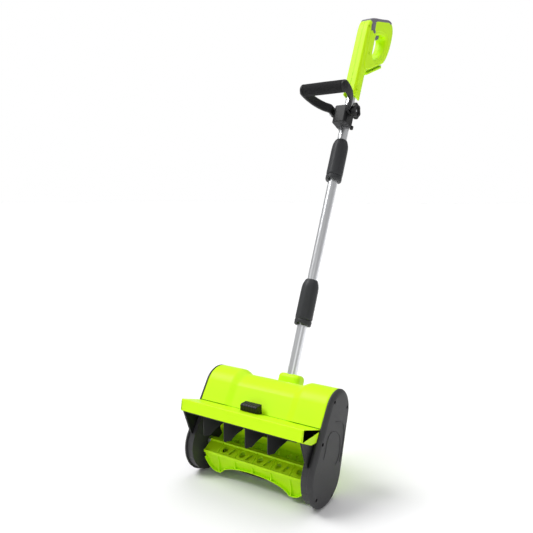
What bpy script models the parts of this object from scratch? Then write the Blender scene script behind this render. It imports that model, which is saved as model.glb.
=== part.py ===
"""Cordless snow shovel: a two-bladed rotor in an open-fronted housing, on a three-piece shaft.

Metres, +Z up, +X to the right of someone in front of it, front towards -Y. Each sub-part is one object.
The head is drawn in head_frame, whose floor is z = 0, and everything on the shaft in shaft_frame,
whose local Z runs up the tube and whose local Y points to the rear.
"""

from math import acos, asin, atan2, cos, hypot, pi, radians, sin, sqrt

import bmesh
import bpy
from mathutils import Matrix, Vector

# Driving dimensions
GAP = 0.0003
FRAME_Y = -0.2819  # moves the whole tool so that its box is centred on the origin
HEAD_HALF_WIDTH = 0.1675
PLATE_LOW = (-0.001, 0.0664)  # (y, z) of the lower arc of the end plates, low enough to leave a flat foot
PLATE_LOW_RADIUS = 0.0672
PLATE_HIGH = (0.052, 0.1828)  # and of the smaller upper arc
PLATE_HIGH_RADIUS = 0.0490
COVER_THICK = 0.009
SIDE_FRAME_INNER = 0.1425
SHELL_WALL = 0.003
SHELL_FRONT = 0.624  # how far up the oval's front side the shell starts
SADDLE_DIP = 0.009
SADDLE_HALF = 0.070
SHOULDER_INNER = 0.095
VISOR_ROOT = (-0.0099, 0.1655)
VISOR_FRONT = (-0.0790, 0.1885)
ROOF_Z = 0.1595
ROTOR_AXIS = (-0.001, 0.0678)
ROTOR_RADIUS = 0.0620
ROTOR_HALF = 0.134
HUB_RADIUS = 0.011
SHAFT_RADIUS = 0.005
BEARING_OUTER = 0.011
MOTOR_AXIS = (0.050, 0.1800)
MOTOR_RADIUS = 0.0205
DRIVE_PULLEY_RADIUS = 0.010
ROTOR_PULLEY_RADIUS = 0.024
VANE_PIVOTS = (-0.0855, -0.0285, 0.0285, 0.0855)
VANE_Y = -0.0255
VANE_LENGTH = 0.046
VANE_PIN = 0.020  # from a vane's pivot to the pin that the link bar moves
VANE_REST = radians(27)
KNOB_X = -0.020 * sin(VANE_REST)
KNOB_HALF = 0.022
SHAFT_FOOT = (0.127, 0.2175)  # (y, z) where the tube leaves its socket
SHAFT_LEAN = radians(23)
TUBE_RADIUS = 0.012
TUBE_WALL = 0.0013
SLEEVE_RADIUS = 0.0215
SLEEVE_LENGTH = 0.115
SLEEVE_STARTS = (0.117, 0.494)
CLAMP_AT = 0.677  # the bail's bolt crosses here
CLAMP_SPAN = (-0.033, 0.014)
CLAMP_HALF = 0.020
BAIL_PIVOT_Y = -0.026
GRIP_AXIS = (-0.108, 0.003)  # (y, z) from the bail's pivot
FOAM_RADIUS = 0.0152
FOAM_HALF = 0.0545
HANDLE_FOOT = 0.733
HANDLE_HALF = 0.0178
HANDLE_WALL = 0.003
HANDLE_LINE = (
    (-0.0175, 0.7330), (-0.0150, 0.9380), (-0.0120, 0.9580), (-0.0040, 0.9730), (0.0120, 0.9860), (0.0540, 1.0130),
    (0.0920, 1.0390), (0.1080, 1.0440), (0.1230, 1.0380), (0.1310, 1.0230), (0.1330, 1.0000), (0.1310, 0.9650),
    (0.1220, 0.9310), (0.1110, 0.9090), (0.0980, 0.8960), (0.0200, 0.8230), (0.0190, 0.7330),
)
FINGER_LINE = (
    (0.0360, 0.8880), (0.0350, 0.9400), (0.0400, 0.9520), (0.0560, 0.9640), (0.0860, 0.9790), (0.0950, 0.9770),
    (0.0980, 0.9660), (0.0960, 0.9450), (0.0860, 0.9200), (0.0560, 0.8830), (0.0440, 0.8800),
)
LOCK_BUTTON = (0.0, 0.0150, 0.9450)
RAIL_LINE = ((0.0240, 0.8267), (0.0960, 0.8941))  # the two ends of the battery's slide, on the handle

# Plain helpers


def clear_scene():
    for item in list(bpy.data.objects):
        bpy.data.objects.remove(item, do_unlink=True)


def new_collection(name):
    made = bpy.data.collections.new(name)
    bpy.context.scene.collection.children.link(made)
    return made


def material(name, colour, roughness, metallic=0.0):
    made = bpy.data.materials.new(name)
    made.use_nodes = True
    shader = made.node_tree.nodes["Principled BSDF"]
    shader.inputs["Base Color"].default_value = (*colour, 1.0)
    shader.inputs["Roughness"].default_value = roughness
    shader.inputs["Metallic"].default_value = metallic
    made.diffuse_color = (*colour, 1.0)
    return made


def empty(name, parent, at, turn=(0.0, 0.0, 0.0)):
    made = bpy.data.objects.new(name, None)
    made.parent = parent
    made.location = at
    made.rotation_euler = turn
    parts.objects.link(made)
    return made


def keep(made, parent, finish):
    """Gives an object its parent and material, and shades it smooth between sharp edges."""
    made.parent = parent
    made.data.materials.append(finish)
    if made.type == "MESH" and made.data.polygons:
        made.data.shade_smooth()
        made.data.set_sharp_from_angle(angle=radians(35))
    return made


def from_bmesh(name, shape):
    mesh = bpy.data.meshes.new(name)
    shape.normal_update()
    bmesh.ops.recalc_face_normals(shape, faces=shape.faces)
    if shape.calc_volume(signed=True) < 0:
        bmesh.ops.reverse_faces(shape, faces=shape.faces)
    shape.to_mesh(mesh)
    shape.free()
    made = bpy.data.objects.new(name, mesh)
    parts.objects.link(made)
    return made


def box(name, low, high):
    shape = bmesh.new()
    bmesh.ops.create_cube(shape, size=1.0)
    for vertex in shape.verts:
        for axis in range(3):
            vertex.co[axis] = low[axis] if vertex.co[axis] < 0 else high[axis]
    return from_bmesh(name, shape)


PLANES = {  # the columns that take an outline's u, v and normal to X, Y and Z
    "YZ": Matrix(((0, 0, 1), (1, 0, 0), (0, 1, 0))),
    "XZ": Matrix(((1, 0, 0), (0, 0, -1), (0, 1, 0))),
    "XY": Matrix.Identity(3),
}
NORMALS = {"YZ": Vector((1, 0, 0)), "XZ": Vector((0, 1, 0)), "XY": Vector((0, 0, 1))}


def prism(name, plane, loops, start, end):
    """Flat outlines drawn out from start to end along their plane's normal. Inner loops are holes."""
    curve = bpy.data.curves.new(name, "CURVE")
    curve.dimensions = "2D"
    curve.fill_mode = "BOTH"
    curve.extrude = abs(end - start) / 2
    for loop in loops:
        spline = curve.splines.new("POLY")
        spline.points.add(len(loop) - 1)
        for point, (u, v) in zip(spline.points, loop):
            point.co = (u, v, 0, 1)
        spline.use_cyclic_u = True
    drawn = bpy.data.objects.new(name, curve)
    parts.objects.link(drawn)
    bpy.context.view_layer.update()
    graph = bpy.context.evaluated_depsgraph_get()
    mesh = bpy.data.meshes.new_from_object(drawn.evaluated_get(graph))
    bpy.data.objects.remove(drawn)
    shape = bmesh.new()
    shape.from_mesh(mesh)
    bpy.data.meshes.remove(mesh)
    bmesh.ops.remove_doubles(shape, verts=shape.verts, dist=1e-6)
    shape.transform(PLANES[plane].to_4x4())
    shape.transform(Matrix.Translation(NORMALS[plane] * (start + end) / 2))
    return from_bmesh(name, shape)


def turned(name, profile, along="Z", steps=24, closed=False):
    """A profile of (radius, height) points turned a full circle. It runs down its outer side."""
    mesh = bpy.data.meshes.new(name)
    count = len(profile)
    edges = [(i, (i + 1) % count) for i in range(count if closed else count - 1)]
    mesh.from_pydata([(r, 0, h) for r, h in profile], edges, [])
    made = bpy.data.objects.new(name, mesh)
    parts.objects.link(made)
    screw = made.modifiers.new("turn", "SCREW")
    screw.steps = screw.render_steps = steps
    screw.use_merge_vertices = True
    screw.merge_threshold = 1e-5
    screw.use_smooth_shade = True
    if along == "X":
        made.rotation_euler = (0, pi / 2, 0)
    if along == "Y":
        made.rotation_euler = (-pi / 2, 0, 0)
    return made


def rod(name, radius, low, high, along="Z", steps=16):
    return turned(name, [(0, high), (radius, high), (radius, low), (0, low)], along, steps)


def ring(name, outer, inner, low, high, along="Z", steps=24):
    return turned(name, [(outer, high), (outer, low), (inner, low), (inner, high)], along, steps, closed=True)


def at(made, place):
    made.location = place
    return made


def boolean(made, tool, operation):
    """Cuts a tool from an object or joins it on, and keeps the tool hidden among the cutters."""
    if tool.name not in cutters.objects:
        parts.objects.unlink(tool)
        cutters.objects.link(tool)
    tool.parent = tool.parent or made.parent
    tool.hide_render = True
    tool.display_type = "WIRE"
    step = made.modifiers.new(operation.lower(), "BOOLEAN")
    step.operation = operation
    step.object = tool
    return made


def cut(made, *tools):
    for tool in tools:
        boolean(made, tool, "DIFFERENCE")
    return made


def join(made, *tools):
    for tool in tools:
        boolean(made, tool, "UNION")
    return made


def arc(centre, radius, start, end, steps):
    """Points on a circle, from one angle to the other in degrees."""
    angles = [radians(start + (end - start) * i / steps) for i in range(steps + 1)]
    return [(centre[0] + radius * cos(a), centre[1] + radius * sin(a)) for a in angles]


def grown(loop, distance):
    """A clockwise outline moved outwards by this much, with mitred corners."""
    moved = []
    for i, point in enumerate(loop):
        here = Vector(point)
        before = (here - Vector(loop[i - 1])).normalized()
        after = (Vector(loop[(i + 1) % len(loop)]) - here).normalized()
        miter = before.orthogonal() + after.orthogonal()
        moved.append(tuple(here + miter * (distance / (miter.dot(before.orthogonal())))))
    return moved


def ribbon(line, width):
    """The outline of a strip of one width along an open line."""
    sides = ([], [])
    for i, point in enumerate(line):
        here = Vector(point)
        before = (here - Vector(line[i - 1])).normalized() if i else None
        after = (Vector(line[i + 1]) - here).normalized() if i < len(line) - 1 else before
        before = before or after
        miter = before.orthogonal() + after.orthogonal()
        miter *= width / 2 / miter.dot(before.orthogonal())
        sides[0].append(tuple(here + miter))
        sides[1].append(tuple(here - miter))
    return sides[0] + sides[1][::-1]


def sweep(name, path, radius, sides=3):
    """A round wire along a path of points, closed at both ends."""
    curve = bpy.data.curves.new(name, "CURVE")
    curve.dimensions = "3D"
    curve.bevel_depth = radius
    curve.bevel_resolution = sides
    curve.use_fill_caps = True
    spline = curve.splines.new("POLY")
    spline.points.add(len(path) - 1)
    for point, place in zip(spline.points, path):
        point.co = (*place, 1)
    made = bpy.data.objects.new(name, curve)
    parts.objects.link(made)
    return made


# The end plates' oval

OVAL_RISE = (PLATE_HIGH[0] - PLATE_LOW[0], PLATE_HIGH[1] - PLATE_LOW[1])
OVAL_TAPER = asin((PLATE_LOW_RADIUS - PLATE_HIGH_RADIUS) / hypot(*OVAL_RISE)) * 180 / pi
FRONT_ANGLE = atan2(OVAL_RISE[1], OVAL_RISE[0]) * 180 / pi + 90 - OVAL_TAPER  # the front side's normal
REAR_ANGLE = FRONT_ANGLE - 180 + 2 * OVAL_TAPER


def oval(extra=0.0, steps=12):
    """The end plates' outline, or one this much outside it: the upper arc, then the lower one."""
    high = arc(PLATE_HIGH, PLATE_HIGH_RADIUS + extra, REAR_ANGLE, FRONT_ANGLE, steps)
    low = arc(PLATE_LOW, PLATE_LOW_RADIUS + extra, FRONT_ANGLE, REAR_ANGLE + 360, steps)
    return [(y, max(z, 0.0)) for y, z in high + low]


def oval_front(share, extra=0.0):
    """A point on the oval's front side, share of the way from its lower arc to its upper one."""
    low = arc(PLATE_LOW, PLATE_LOW_RADIUS + extra, FRONT_ANGLE, FRONT_ANGLE, 1)[0]
    high = arc(PLATE_HIGH, PLATE_HIGH_RADIUS + extra, FRONT_ANGLE, FRONT_ANGLE, 1)[0]
    return tuple(near + share * (far - near) for near, far in zip(low, high))


def shell_section(dip, extra=0.0):
    """The housing's outer line at one X: up the front, over the top, down the rear and just under.

    The dip is full over the top, and fades away down the front and the rear.
    """
    line = [oval_front(SHELL_FRONT, extra - 0.45 * dip)]
    for i in range(15):
        angle = FRONT_ANGLE + (REAR_ANGLE - FRONT_ANGLE) * i / 14
        fade = min(1.0, 0.55 + 0.15 * i, 1 - 0.5 * (i - 8) / 6)
        line += arc(PLATE_HIGH, PLATE_HIGH_RADIUS + extra - dip * fade, angle, angle, 1)[:1]
    return line + arc(PLATE_LOW, PLATE_LOW_RADIUS + extra, REAR_ANGLE, REAR_ANGLE - 38, 3)


# Head


def dip_at(x):
    """How far the housing's surface lies inside the end plates' oval at one X."""
    share = (SHOULDER_INNER - abs(x)) / (SHOULDER_INNER - SADDLE_HALF)
    return SADDLE_DIP * min(max(share, 0.0), 1.0)


def housing_shell():
    half = HEAD_HALF_WIDTH - COVER_THICK - GAP
    stations = (-half, -SHOULDER_INNER, -SADDLE_HALF, 0.0, SADDLE_HALF, SHOULDER_INNER, half)
    shape = bmesh.new()
    rows = []
    for x in stations:
        rows.append([shape.verts.new((x, y, z)) for y, z in shell_section(dip_at(x))])
    for near, far in zip(rows, rows[1:]):
        for i in range(len(near) - 1):
            shape.faces.new((near[i], far[i], far[i + 1], near[i + 1]))
    made = from_bmesh("housing_shell", shape)
    outward = made.data.polygons[6].normal.z > 0
    wall = made.modifiers.new("wall", "SOLIDIFY")
    wall.thickness = SHELL_WALL
    wall.offset = -1.0 if outward else 1.0
    wall.use_even_offset = True
    keep(made, head_frame, lime)


def visor():
    half = HEAD_HALF_WIDTH - COVER_THICK - GAP
    lip = [VISOR_ROOT, VISOR_FRONT, (-0.0835, 0.1630), (-0.0810, 0.1625), (-0.0770, 0.1850),
           (VISOR_ROOT[0], VISOR_ROOT[1] - 0.0026)]
    made = prism("visor", "YZ", [lip], -half, half)
    side = [oval_front(0.56, GAP), (-0.0200, 0.1680), (-0.0480, 0.1772), VISOR_FRONT, (-0.0835, 0.1630),
            (-0.0500, 0.1465), oval_front(0.40, GAP)]
    ends = [
        prism("visor_end_left", "YZ", [side], -half, -half + 0.003),
        prism("visor_end_right", "YZ", [side], half - 0.003, half),
    ]
    keep(made, head_frame, lime)
    join(made, *ends)
    relief = oval(-SHELL_WALL - 0.0003)
    cut(made, knob_slot("visor_slot"), prism("visor_relief_left", "YZ", [relief], -0.20, -SIDE_FRAME_INNER + GAP),
        prism("visor_relief_right", "YZ", [relief], SIDE_FRAME_INNER - GAP, 0.20))


def knob_slot(name):
    """The opening that the direction knob's stem slides in."""
    reach = 0.005 - KNOB_X
    return box(name, (-reach, -0.0310, 0.1500), (reach, -0.0240, 0.2000))


def hood_liner():
    """The black inner wall: a level roof over the vanes, then an arc over and behind the rotor."""
    inner = ROTOR_RADIUS + 0.0025
    outer = inner + 0.0020
    half = SIDE_FRAME_INNER - GAP
    turn = -14
    meet_in = (ROTOR_AXIS[0] - inner * sin(radians(-turn)), ROTOR_AXIS[1] + inner * cos(radians(-turn)))
    roof = [(-0.0805, ROOF_Z), (-0.0200, ROOF_Z), (meet_in[0] - 0.002, meet_in[1] + 0.004)]
    round_in = arc(ROTOR_AXIS, inner, 90 - turn, 12, 11)
    round_out = arc(ROTOR_AXIS, outer, 12, 88 - turn, 11)
    roof_top = [(-0.0190, ROOF_Z + 0.002), (-0.0805, ROOF_Z + 0.002)]
    made = prism("hood_liner", "YZ", [roof + round_in + round_out + roof_top], -half, half)
    keep(made, head_frame, liner_black)
    cut(made, knob_slot("liner_slot"))


def side_frame(side):
    """A black tray with a floor towards the rotor. It holds the shaft's bearing, and the left one the belt."""
    name = "left" if side < 0 else "right"
    outer = HEAD_HALF_WIDTH - COVER_THICK - GAP
    edge = -SHELL_WALL - 0.0006
    start, end = sorted((side * SIDE_FRAME_INNER, side * outer))
    bore = arc(ROTOR_AXIS, BEARING_OUTER + GAP, 0, 337.5, 15)
    made = prism(f"side_frame_{name}", "YZ", [oval(edge), bore], start, end)
    keep(made, head_frame, cover_black)
    floor = side * (SIDE_FRAME_INNER + 0.006)
    hollow_start, hollow_end = sorted((floor, side * (outer + 0.002)))
    cut(made, prism(f"side_hollow_{name}", "YZ", [oval(edge - 0.005)], hollow_start, hollow_end))
    if side < 0:
        passage = rod("motor_passage", 0.008, -outer, -SIDE_FRAME_INNER + 0.002, "X", 12)
        cut(made, at(passage, (0, *MOTOR_AXIS)))


def hood_wing(side):
    """The thin black cheek that closes the hood's end, from under the visor down to the side frame."""
    name = "left" if side < 0 else "right"
    outline = [(-0.0805, 0.1620), oval_front(0.0, 0.0010), oval_front(0.0, -0.0030), oval_front(0.52, -0.0030),
               (-0.0360, 0.1620)]
    start, end = sorted((side * 0.1500, side * 0.1545))
    keep(prism(f"hood_wing_{name}", "YZ", [outline], start, end), head_frame, liner_black)


def end_cover(side):
    """A plate with a rounded rim and a raised oval panel, on the end of the head."""
    name = "left" if side < 0 else "right"
    start, end = sorted((side * (HEAD_HALF_WIDTH - COVER_THICK), side * (HEAD_HALF_WIDTH - 0.0022)))
    made = prism(f"end_cover_{name}", "YZ", [oval()], start, end)
    keep(made, head_frame, cover_black)
    rim_start, rim_end = sorted((side * (HEAD_HALF_WIDTH - 0.004), side * HEAD_HALF_WIDTH))
    steps = [prism(f"cover_step_{name}", "YZ", [oval(-0.0018)],
                   side * (HEAD_HALF_WIDTH - 0.004) if side > 0 else -HEAD_HALF_WIDTH + 0.0008,
                   side * (HEAD_HALF_WIDTH - 0.0008) if side > 0 else -HEAD_HALF_WIDTH + 0.004),
             prism(f"cover_panel_{name}", "YZ", [oval(-0.0195)], rim_start, rim_end)]
    join(made, *steps)


def scraper_bar():
    """The strip along the lower rear edge, just off the ground."""
    strip = arc(PLATE_LOW, 0.0662, -74, -57, 4) + arc(PLATE_LOW, 0.0636, -57, -74, 4)
    half = SIDE_FRAME_INNER - GAP
    keep(prism("scraper_bar", "YZ", [strip], -half, half), head_frame, cover_black)


def tube_socket():
    """The lime boss on the housing's back that the shaft plugs into."""
    made = box("tube_socket", (-0.0290, -0.0165, -0.1100), (0.0290, 0.0210, 0.0))
    keep(made, shaft_frame, lime)
    soften = made.modifiers.new("edges", "BEVEL")
    soften.width = 0.007
    soften.segments = 3
    wall = prism("socket_wall", "YZ", [shell_section(SADDLE_DIP, GAP)], -0.08, 0.08)
    wall.parent = head_frame
    cut(made, wall, rod("socket_bore", TUBE_RADIUS + GAP, -0.0470, 0.02, steps=24))


def rotor():
    """Two scoops on a hub. Each is a shelf out to a lip, and a blade down from it with its lower edge arched."""
    hub = rod("rotor", HUB_RADIUS, -ROTOR_HALF, ROTOR_HALF, "X", 16)
    keep(hub, rotor_frame, rotor_lime)
    tip = (-0.0235, -0.0555)
    blade = ((-0.0340, -0.0090), (-0.0262, -0.0290), tip)
    loops = {
        "plate": (ribbon(blade, 0.0030), -ROTOR_HALF, ROTOR_HALF),
        "shelf": (ribbon(((-0.0340, -0.0088), (-0.0060, 0.0083)), 0.0030), -ROTOR_HALF, ROTOR_HALF),
        "lip": (ribbon(((-0.0344, -0.0062), (-0.0344, -0.0128)), 0.0027), -ROTOR_HALF, ROTOR_HALF),
        "spine": (ribbon(((-0.0085, 0.0100), (-0.0085, -0.0020)), 0.0028), -ROTOR_HALF, ROTOR_HALF),
    }
    upright = [(-0.0080, 0.0112), (-0.0350, -0.0060), (-0.0350, -0.0124), (-0.0302, -0.0400), (-0.0243, -0.0400),
               (-0.0262, -0.0250), (-0.0325, -0.0115), (-0.0070, -0.0050)]
    for number in range(5):
        x = -0.0960 + 0.0480 * number
        loops[f"upright_{number}"] = (upright, x - 0.0013, x + 0.0013)
    arch = [(0.092 * cos(pi * i / 14), tip[1] - 0.004 + 0.028 * sin(pi * i / 14)) for i in range(15)]
    corner = [(0.0995 + 0.0350 * cos(pi * i / 12), -0.0195 - 0.0365 * sin(pi * i / 12)) for i in range(7)]
    corner += [(0.0995, -0.0700), (0.1400, -0.0700), (0.1400, -0.0195)]
    for turn in (0, 1):
        sign = 1 - 2 * turn
        pieces = []
        for label, (loop, low, high) in loops.items():
            pieces.append(prism(f"blade_{label}_{turn}", "YZ", [[(sign * y, sign * z) for y, z in loop]], low, high))
        join(hub, *pieces)
        near, far = sorted((sign * -0.0120, sign * -0.0420))
        shapes = {"arch": arch, "corner_right": corner, "corner_left": [(-x, z) for x, z in corner]}
        for label, loop in shapes.items():
            cut(hub, prism(f"blade_{label}_{turn}", "XZ", [[(x, sign * z) for x, z in loop]], near, far))
    cut(hub, rod("rotor_bore", SHAFT_RADIUS + GAP, -ROTOR_HALF - 0.01, ROTOR_HALF + 0.01, "X", 16))


def drive():
    left = -HEAD_HALF_WIDTH + COVER_THICK
    shaft = rod("rotor_shaft", SHAFT_RADIUS, left + 0.0015, SIDE_FRAME_INNER + 0.010, "X", 16)
    keep(shaft, rotor_frame, steel)
    belt_low, belt_high = belt_span()
    pulley = turned("rotor_pulley", groove(ROTOR_PULLEY_RADIUS, SHAFT_RADIUS + GAP, belt_low, belt_high), "X", 24, True)
    keep(pulley, rotor_frame, pulley_grey)
    small = turned("drive_pulley", groove(DRIVE_PULLEY_RADIUS, 0.0025 + GAP, belt_low, belt_high), "X", 16, True)
    keep(small, motor_frame, steel)
    keep(rod("motor_shaft", 0.0025, left + 0.002, -0.1353, "X", 12), motor_frame, steel)
    profile = [(0, -0.052), (0.012, -0.052), (0.0135, -0.056), (MOTOR_RADIUS - 0.001, -0.058), (MOTOR_RADIUS, -0.060),
               (MOTOR_RADIUS, -0.127), (MOTOR_RADIUS - 0.002, -0.130), (0.008, -0.131), (0.007, -0.135), (0, -0.135)]
    motor = turned("motor_body", profile, "X", 24)
    motor.location = (0, *MOTOR_AXIS)
    keep(motor, head_frame, motor_grey)
    belt()
    for side, name in ((-1, "left"), (1, "right")):
        start, end = sorted((side * SIDE_FRAME_INNER, side * (SIDE_FRAME_INNER + 0.006)))
        bearing = ring(f"rotor_bearing_{name}", BEARING_OUTER, SHAFT_RADIUS + GAP, start, end, "X", 16)
        keep(at(bearing, (0, *ROTOR_AXIS)), head_frame, steel)


def belt_span():
    """The belt's two edges along X, between the left tray's floor and its cover."""
    cover = -HEAD_HALF_WIDTH + COVER_THICK
    return cover + 0.0018, cover + 0.0082


def groove(radius, bore, low, high):
    """A pulley's profile: two low flanges beside the belt's seat, and a bore."""
    lip = 0.0012
    return [(radius + 0.0015, high + lip), (radius + 0.0015, high + GAP), (radius, high + GAP), (radius, low - GAP),
            (radius + 0.0015, low - GAP), (radius + 0.0015, low - lip), (bore, low - lip), (bore, high + lip)]


def belt_line(extra):
    """The open belt's line round both pulleys, a little outside them."""
    (y0, z0), (y1, z1) = ROTOR_AXIS, MOTOR_AXIS
    big, small = ROTOR_PULLEY_RADIUS + extra, DRIVE_PULLEY_RADIUS + extra
    span = hypot(y1 - y0, z1 - z0)
    heading = atan2(z1 - z0, y1 - y0) * 180 / pi
    lift = acos((big - small) / span) * 180 / pi
    return arc(MOTOR_AXIS, small, heading - lift, heading + lift, 8) + arc(
        ROTOR_AXIS, big, heading + lift, heading + 360 - lift, 16)


def belt():
    loops = [belt_line(0.0025), belt_line(0.0004)]
    keep(prism("drive_belt", "YZ", loops, *belt_span()), head_frame, belt_black)


def vanes():
    """Four plates under the hood. Each turns on a pin at its rear top, and the link bar moves its other pin."""
    top, foot = ROOF_Z - 0.0060, 0.1095
    clear = ROTOR_RADIUS + 0.0040
    edge = []
    for i in range(8):
        z = foot + (0.1310 - foot) * i / 7
        behind = VANE_Y - ROTOR_AXIS[0] + sqrt(clear**2 - (z - ROTOR_AXIS[1]) ** 2)
        edge.append((-max(behind, 0.0) / cos(VANE_REST), z))
    outline = [(-VANE_LENGTH, top), (-VANE_LENGTH, foot + 0.002), (-VANE_LENGTH + 0.002, foot), *edge,
               (0.0025, edge[-1][1] + 0.006), (0.0025, top)]
    for number, frame in enumerate(vane_frames, 1):
        made = prism(f"vane_{number}", "YZ", [outline], -0.0013, 0.0013)
        keep(made, frame, liner_black)
        join(made, rod(f"vane_pivot_{number}", 0.0022, top - 0.003, ROOF_Z - GAP, steps=8),
             at(rod(f"vane_crank_{number}", 0.0016, top - 0.003, ROOF_Z - 0.0020, steps=8), (0, -VANE_PIN, 0)))


def deflector_slider():
    """The link bar under the roof, slotted for the vanes' pins, and the knob that moves it."""
    bar_low, bar_high = ROOF_Z - 0.0050, ROOF_Z - 0.0028
    pin_y = VANE_Y - VANE_PIN
    reach = VANE_PIVOTS[3] + 0.008
    bar = box("vane_link_bar", (-reach, pin_y - 0.0045, bar_low), (reach, pin_y + 0.0070, bar_high))
    keep(bar, slider_frame, liner_black)
    for number, x in enumerate(VANE_PIVOTS, 1):
        cut(bar, box(f"link_slot_{number}", (x - 0.0021, pin_y - 0.0022, bar_low - 0.005),
                     (x + 0.0021, pin_y + 0.0045, bar_high + 0.005)))
    join(bar, box("link_arm", (-0.0055, pin_y + 0.0060, bar_low + 0.0002), (0.0055, -0.0245, bar_high - 0.0002)))
    side = [(-0.0335, 0.1743), (-0.0335, 0.1855), (-0.0305, 0.1890), (-0.0125, 0.1890), (-0.0135, 0.1676)]
    made = prism("slider_knob", "YZ", [side], -KNOB_HALF, KNOB_HALF)
    keep(made, slider_frame, liner_black)
    edges = made.modifiers.new("edges", "BEVEL")
    edges.width = 0.0015
    edges.segments = 2
    join(made, box("knob_stem", (-0.0045, -0.0300, bar_high + GAP), (0.0045, -0.0250, 0.1800)))


# Shaft


def tubes():
    """Three lengths of tube that plug into the sleeves, and the cable through them."""
    ends = (-0.0460, SLEEVE_STARTS[0] + SLEEVE_LENGTH / 2, SLEEVE_STARTS[1] + SLEEVE_LENGTH / 2, 0.7930)
    for name, low, high in zip(("lower_tube", "middle_tube", "upper_tube"), ends, ends[1:]):
        keep(ring(name, TUBE_RADIUS, TUBE_RADIUS - TUBE_WALL, low + GAP, high), shaft_frame, alloy)
    keep(rod("power_cable", 0.0028, -0.0440, 0.8250, steps=8), shaft_frame, belt_black)


def sleeve(name, start, turning_frame):
    """The connector over a tube joint: a fixed body and the short lock ring below it."""
    bore = TUBE_RADIUS + GAP
    split = start + 0.014
    top = start + SLEEVE_LENGTH
    body = [(0.0145, top), (0.0180, top - 0.004), (SLEEVE_RADIUS, top - 0.016), (SLEEVE_RADIUS, split + GAP),
            (bore, split + GAP), (bore, top)]
    keep(turned(f"{name}_sleeve", body, steps=24, closed=True), shaft_frame, sleeve_grey)
    collar = [(SLEEVE_RADIUS - 0.0002, split), (SLEEVE_RADIUS - 0.0002, start + 0.002), (SLEEVE_RADIUS - 0.002, start),
              (bore, start), (bore, split)]
    made = turned(f"{name}_lock_ring", collar, steps=24, closed=True)
    keep(made, turning_frame, sleeve_grey)
    cut(made, *[box(f"{name}_notch_{i}", *corners) for i, corners in enumerate((
        ((-0.006, -0.030, start - 0.01), (0.006, -0.010, start + 0.005)),
        ((-0.006, 0.010, start - 0.01), (0.006, 0.030, start + 0.005))))])


def clamp():
    """Two halves round the tube, a bolt across the front one, and the knob that tightens it."""
    bore = TUBE_RADIUS + GAP
    front = [(-CLAMP_HALF, -0.0004), (-bore, -0.0004), *arc((0, 0), bore, 188, 352, 10), (bore, -0.0004),
             (CLAMP_HALF, -0.0004), (CLAMP_HALF, -0.0340), (0.0150, -0.0390), (-0.0150, -0.0390),
             (-CLAMP_HALF, -0.0340)]
    rear = [(CLAMP_HALF, 0.0004), (bore, 0.0004), *arc((0, 0), bore, 8, 172, 10), (-bore, 0.0004),
            (-CLAMP_HALF, 0.0004), (-CLAMP_HALF, 0.0120), (-0.0120, 0.0200), (0.0120, 0.0200), (CLAMP_HALF, 0.0120)]
    for name, outline in (("clamp_front", front), ("clamp_rear", rear)):
        made = prism(name, "XY", [outline], *CLAMP_SPAN)
        keep(made, clamp_frame, liner_black)
        if name == "clamp_front":
            cut(made, at(rod("clamp_bolt_bore", 0.0035, -0.05, 0.05, "X", 12), (0, BAIL_PIVOT_Y, 0)))
    head = -CLAMP_HALF - 0.0103
    bolt = turned("clamp_bolt", [(0, 0.0400), (0.0030, 0.0400), (0.0030, head), (0.0075, head), (0.0075, head - 0.005),
                                 (0, head - 0.005)], "X", 12)
    keep(bolt, knob_frame, steel)
    inner, outer = CLAMP_HALF + 0.0103, CLAMP_HALF + 0.0230
    star = []
    for i in range(30):
        radius = 0.0195 + 0.0016 * cos(6 * 2 * pi * i / 30)
        star.append((radius * cos(2 * pi * i / 30), radius * sin(2 * pi * i / 30)))
    knob = prism("clamp_knob", "YZ", [star], inner, outer)
    keep(knob, knob_frame, liner_black)
    edges = knob.modifiers.new("edges", "BEVEL")
    edges.width = 0.0015
    edges.segments = 2
    cut(knob, rod("knob_recess", 0.0105, outer - 0.0022, outer + 0.01, "X", 20),
        rod("knob_bore", 0.0030 + GAP, 0.0, 0.0403, "X", 12))


def bail():
    """The D-shaped front handle: two arms from the clamp's bolt, and a foam grip on the bar between them."""
    arm = ((0.0250, 0.0060), (0.0250, -0.0215), (0.0375, -0.0340), (0.0500, -0.0560), (0.0580, -0.0820),
           (0.0605, -0.1180))
    loops = [ribbon(arm, 0.0085), ribbon([(-x, y) for x, y in arm], 0.0085)]
    bar = rod("bail_frame", 0.0075, -0.0600, 0.0600, "X", 16)
    keep(at(bar, (0, *GRIP_AXIS)), bail_frame, liner_black)
    for number, loop in enumerate(loops):
        join(bar, prism(f"bail_arm_{number}", "XY", [loop], -0.0110, 0.0110))
    cut(bar, rod("bail_bolt_bore", 0.0035, -0.08, 0.08, "X", 12))
    foam = ring("bail_grip", FOAM_RADIUS, 0.0075 + GAP, -FOAM_HALF, FOAM_HALF, "X", 24)
    keep(at(foam, (0, *GRIP_AXIS)), bail_frame, foam_black)


# Main handle


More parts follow.
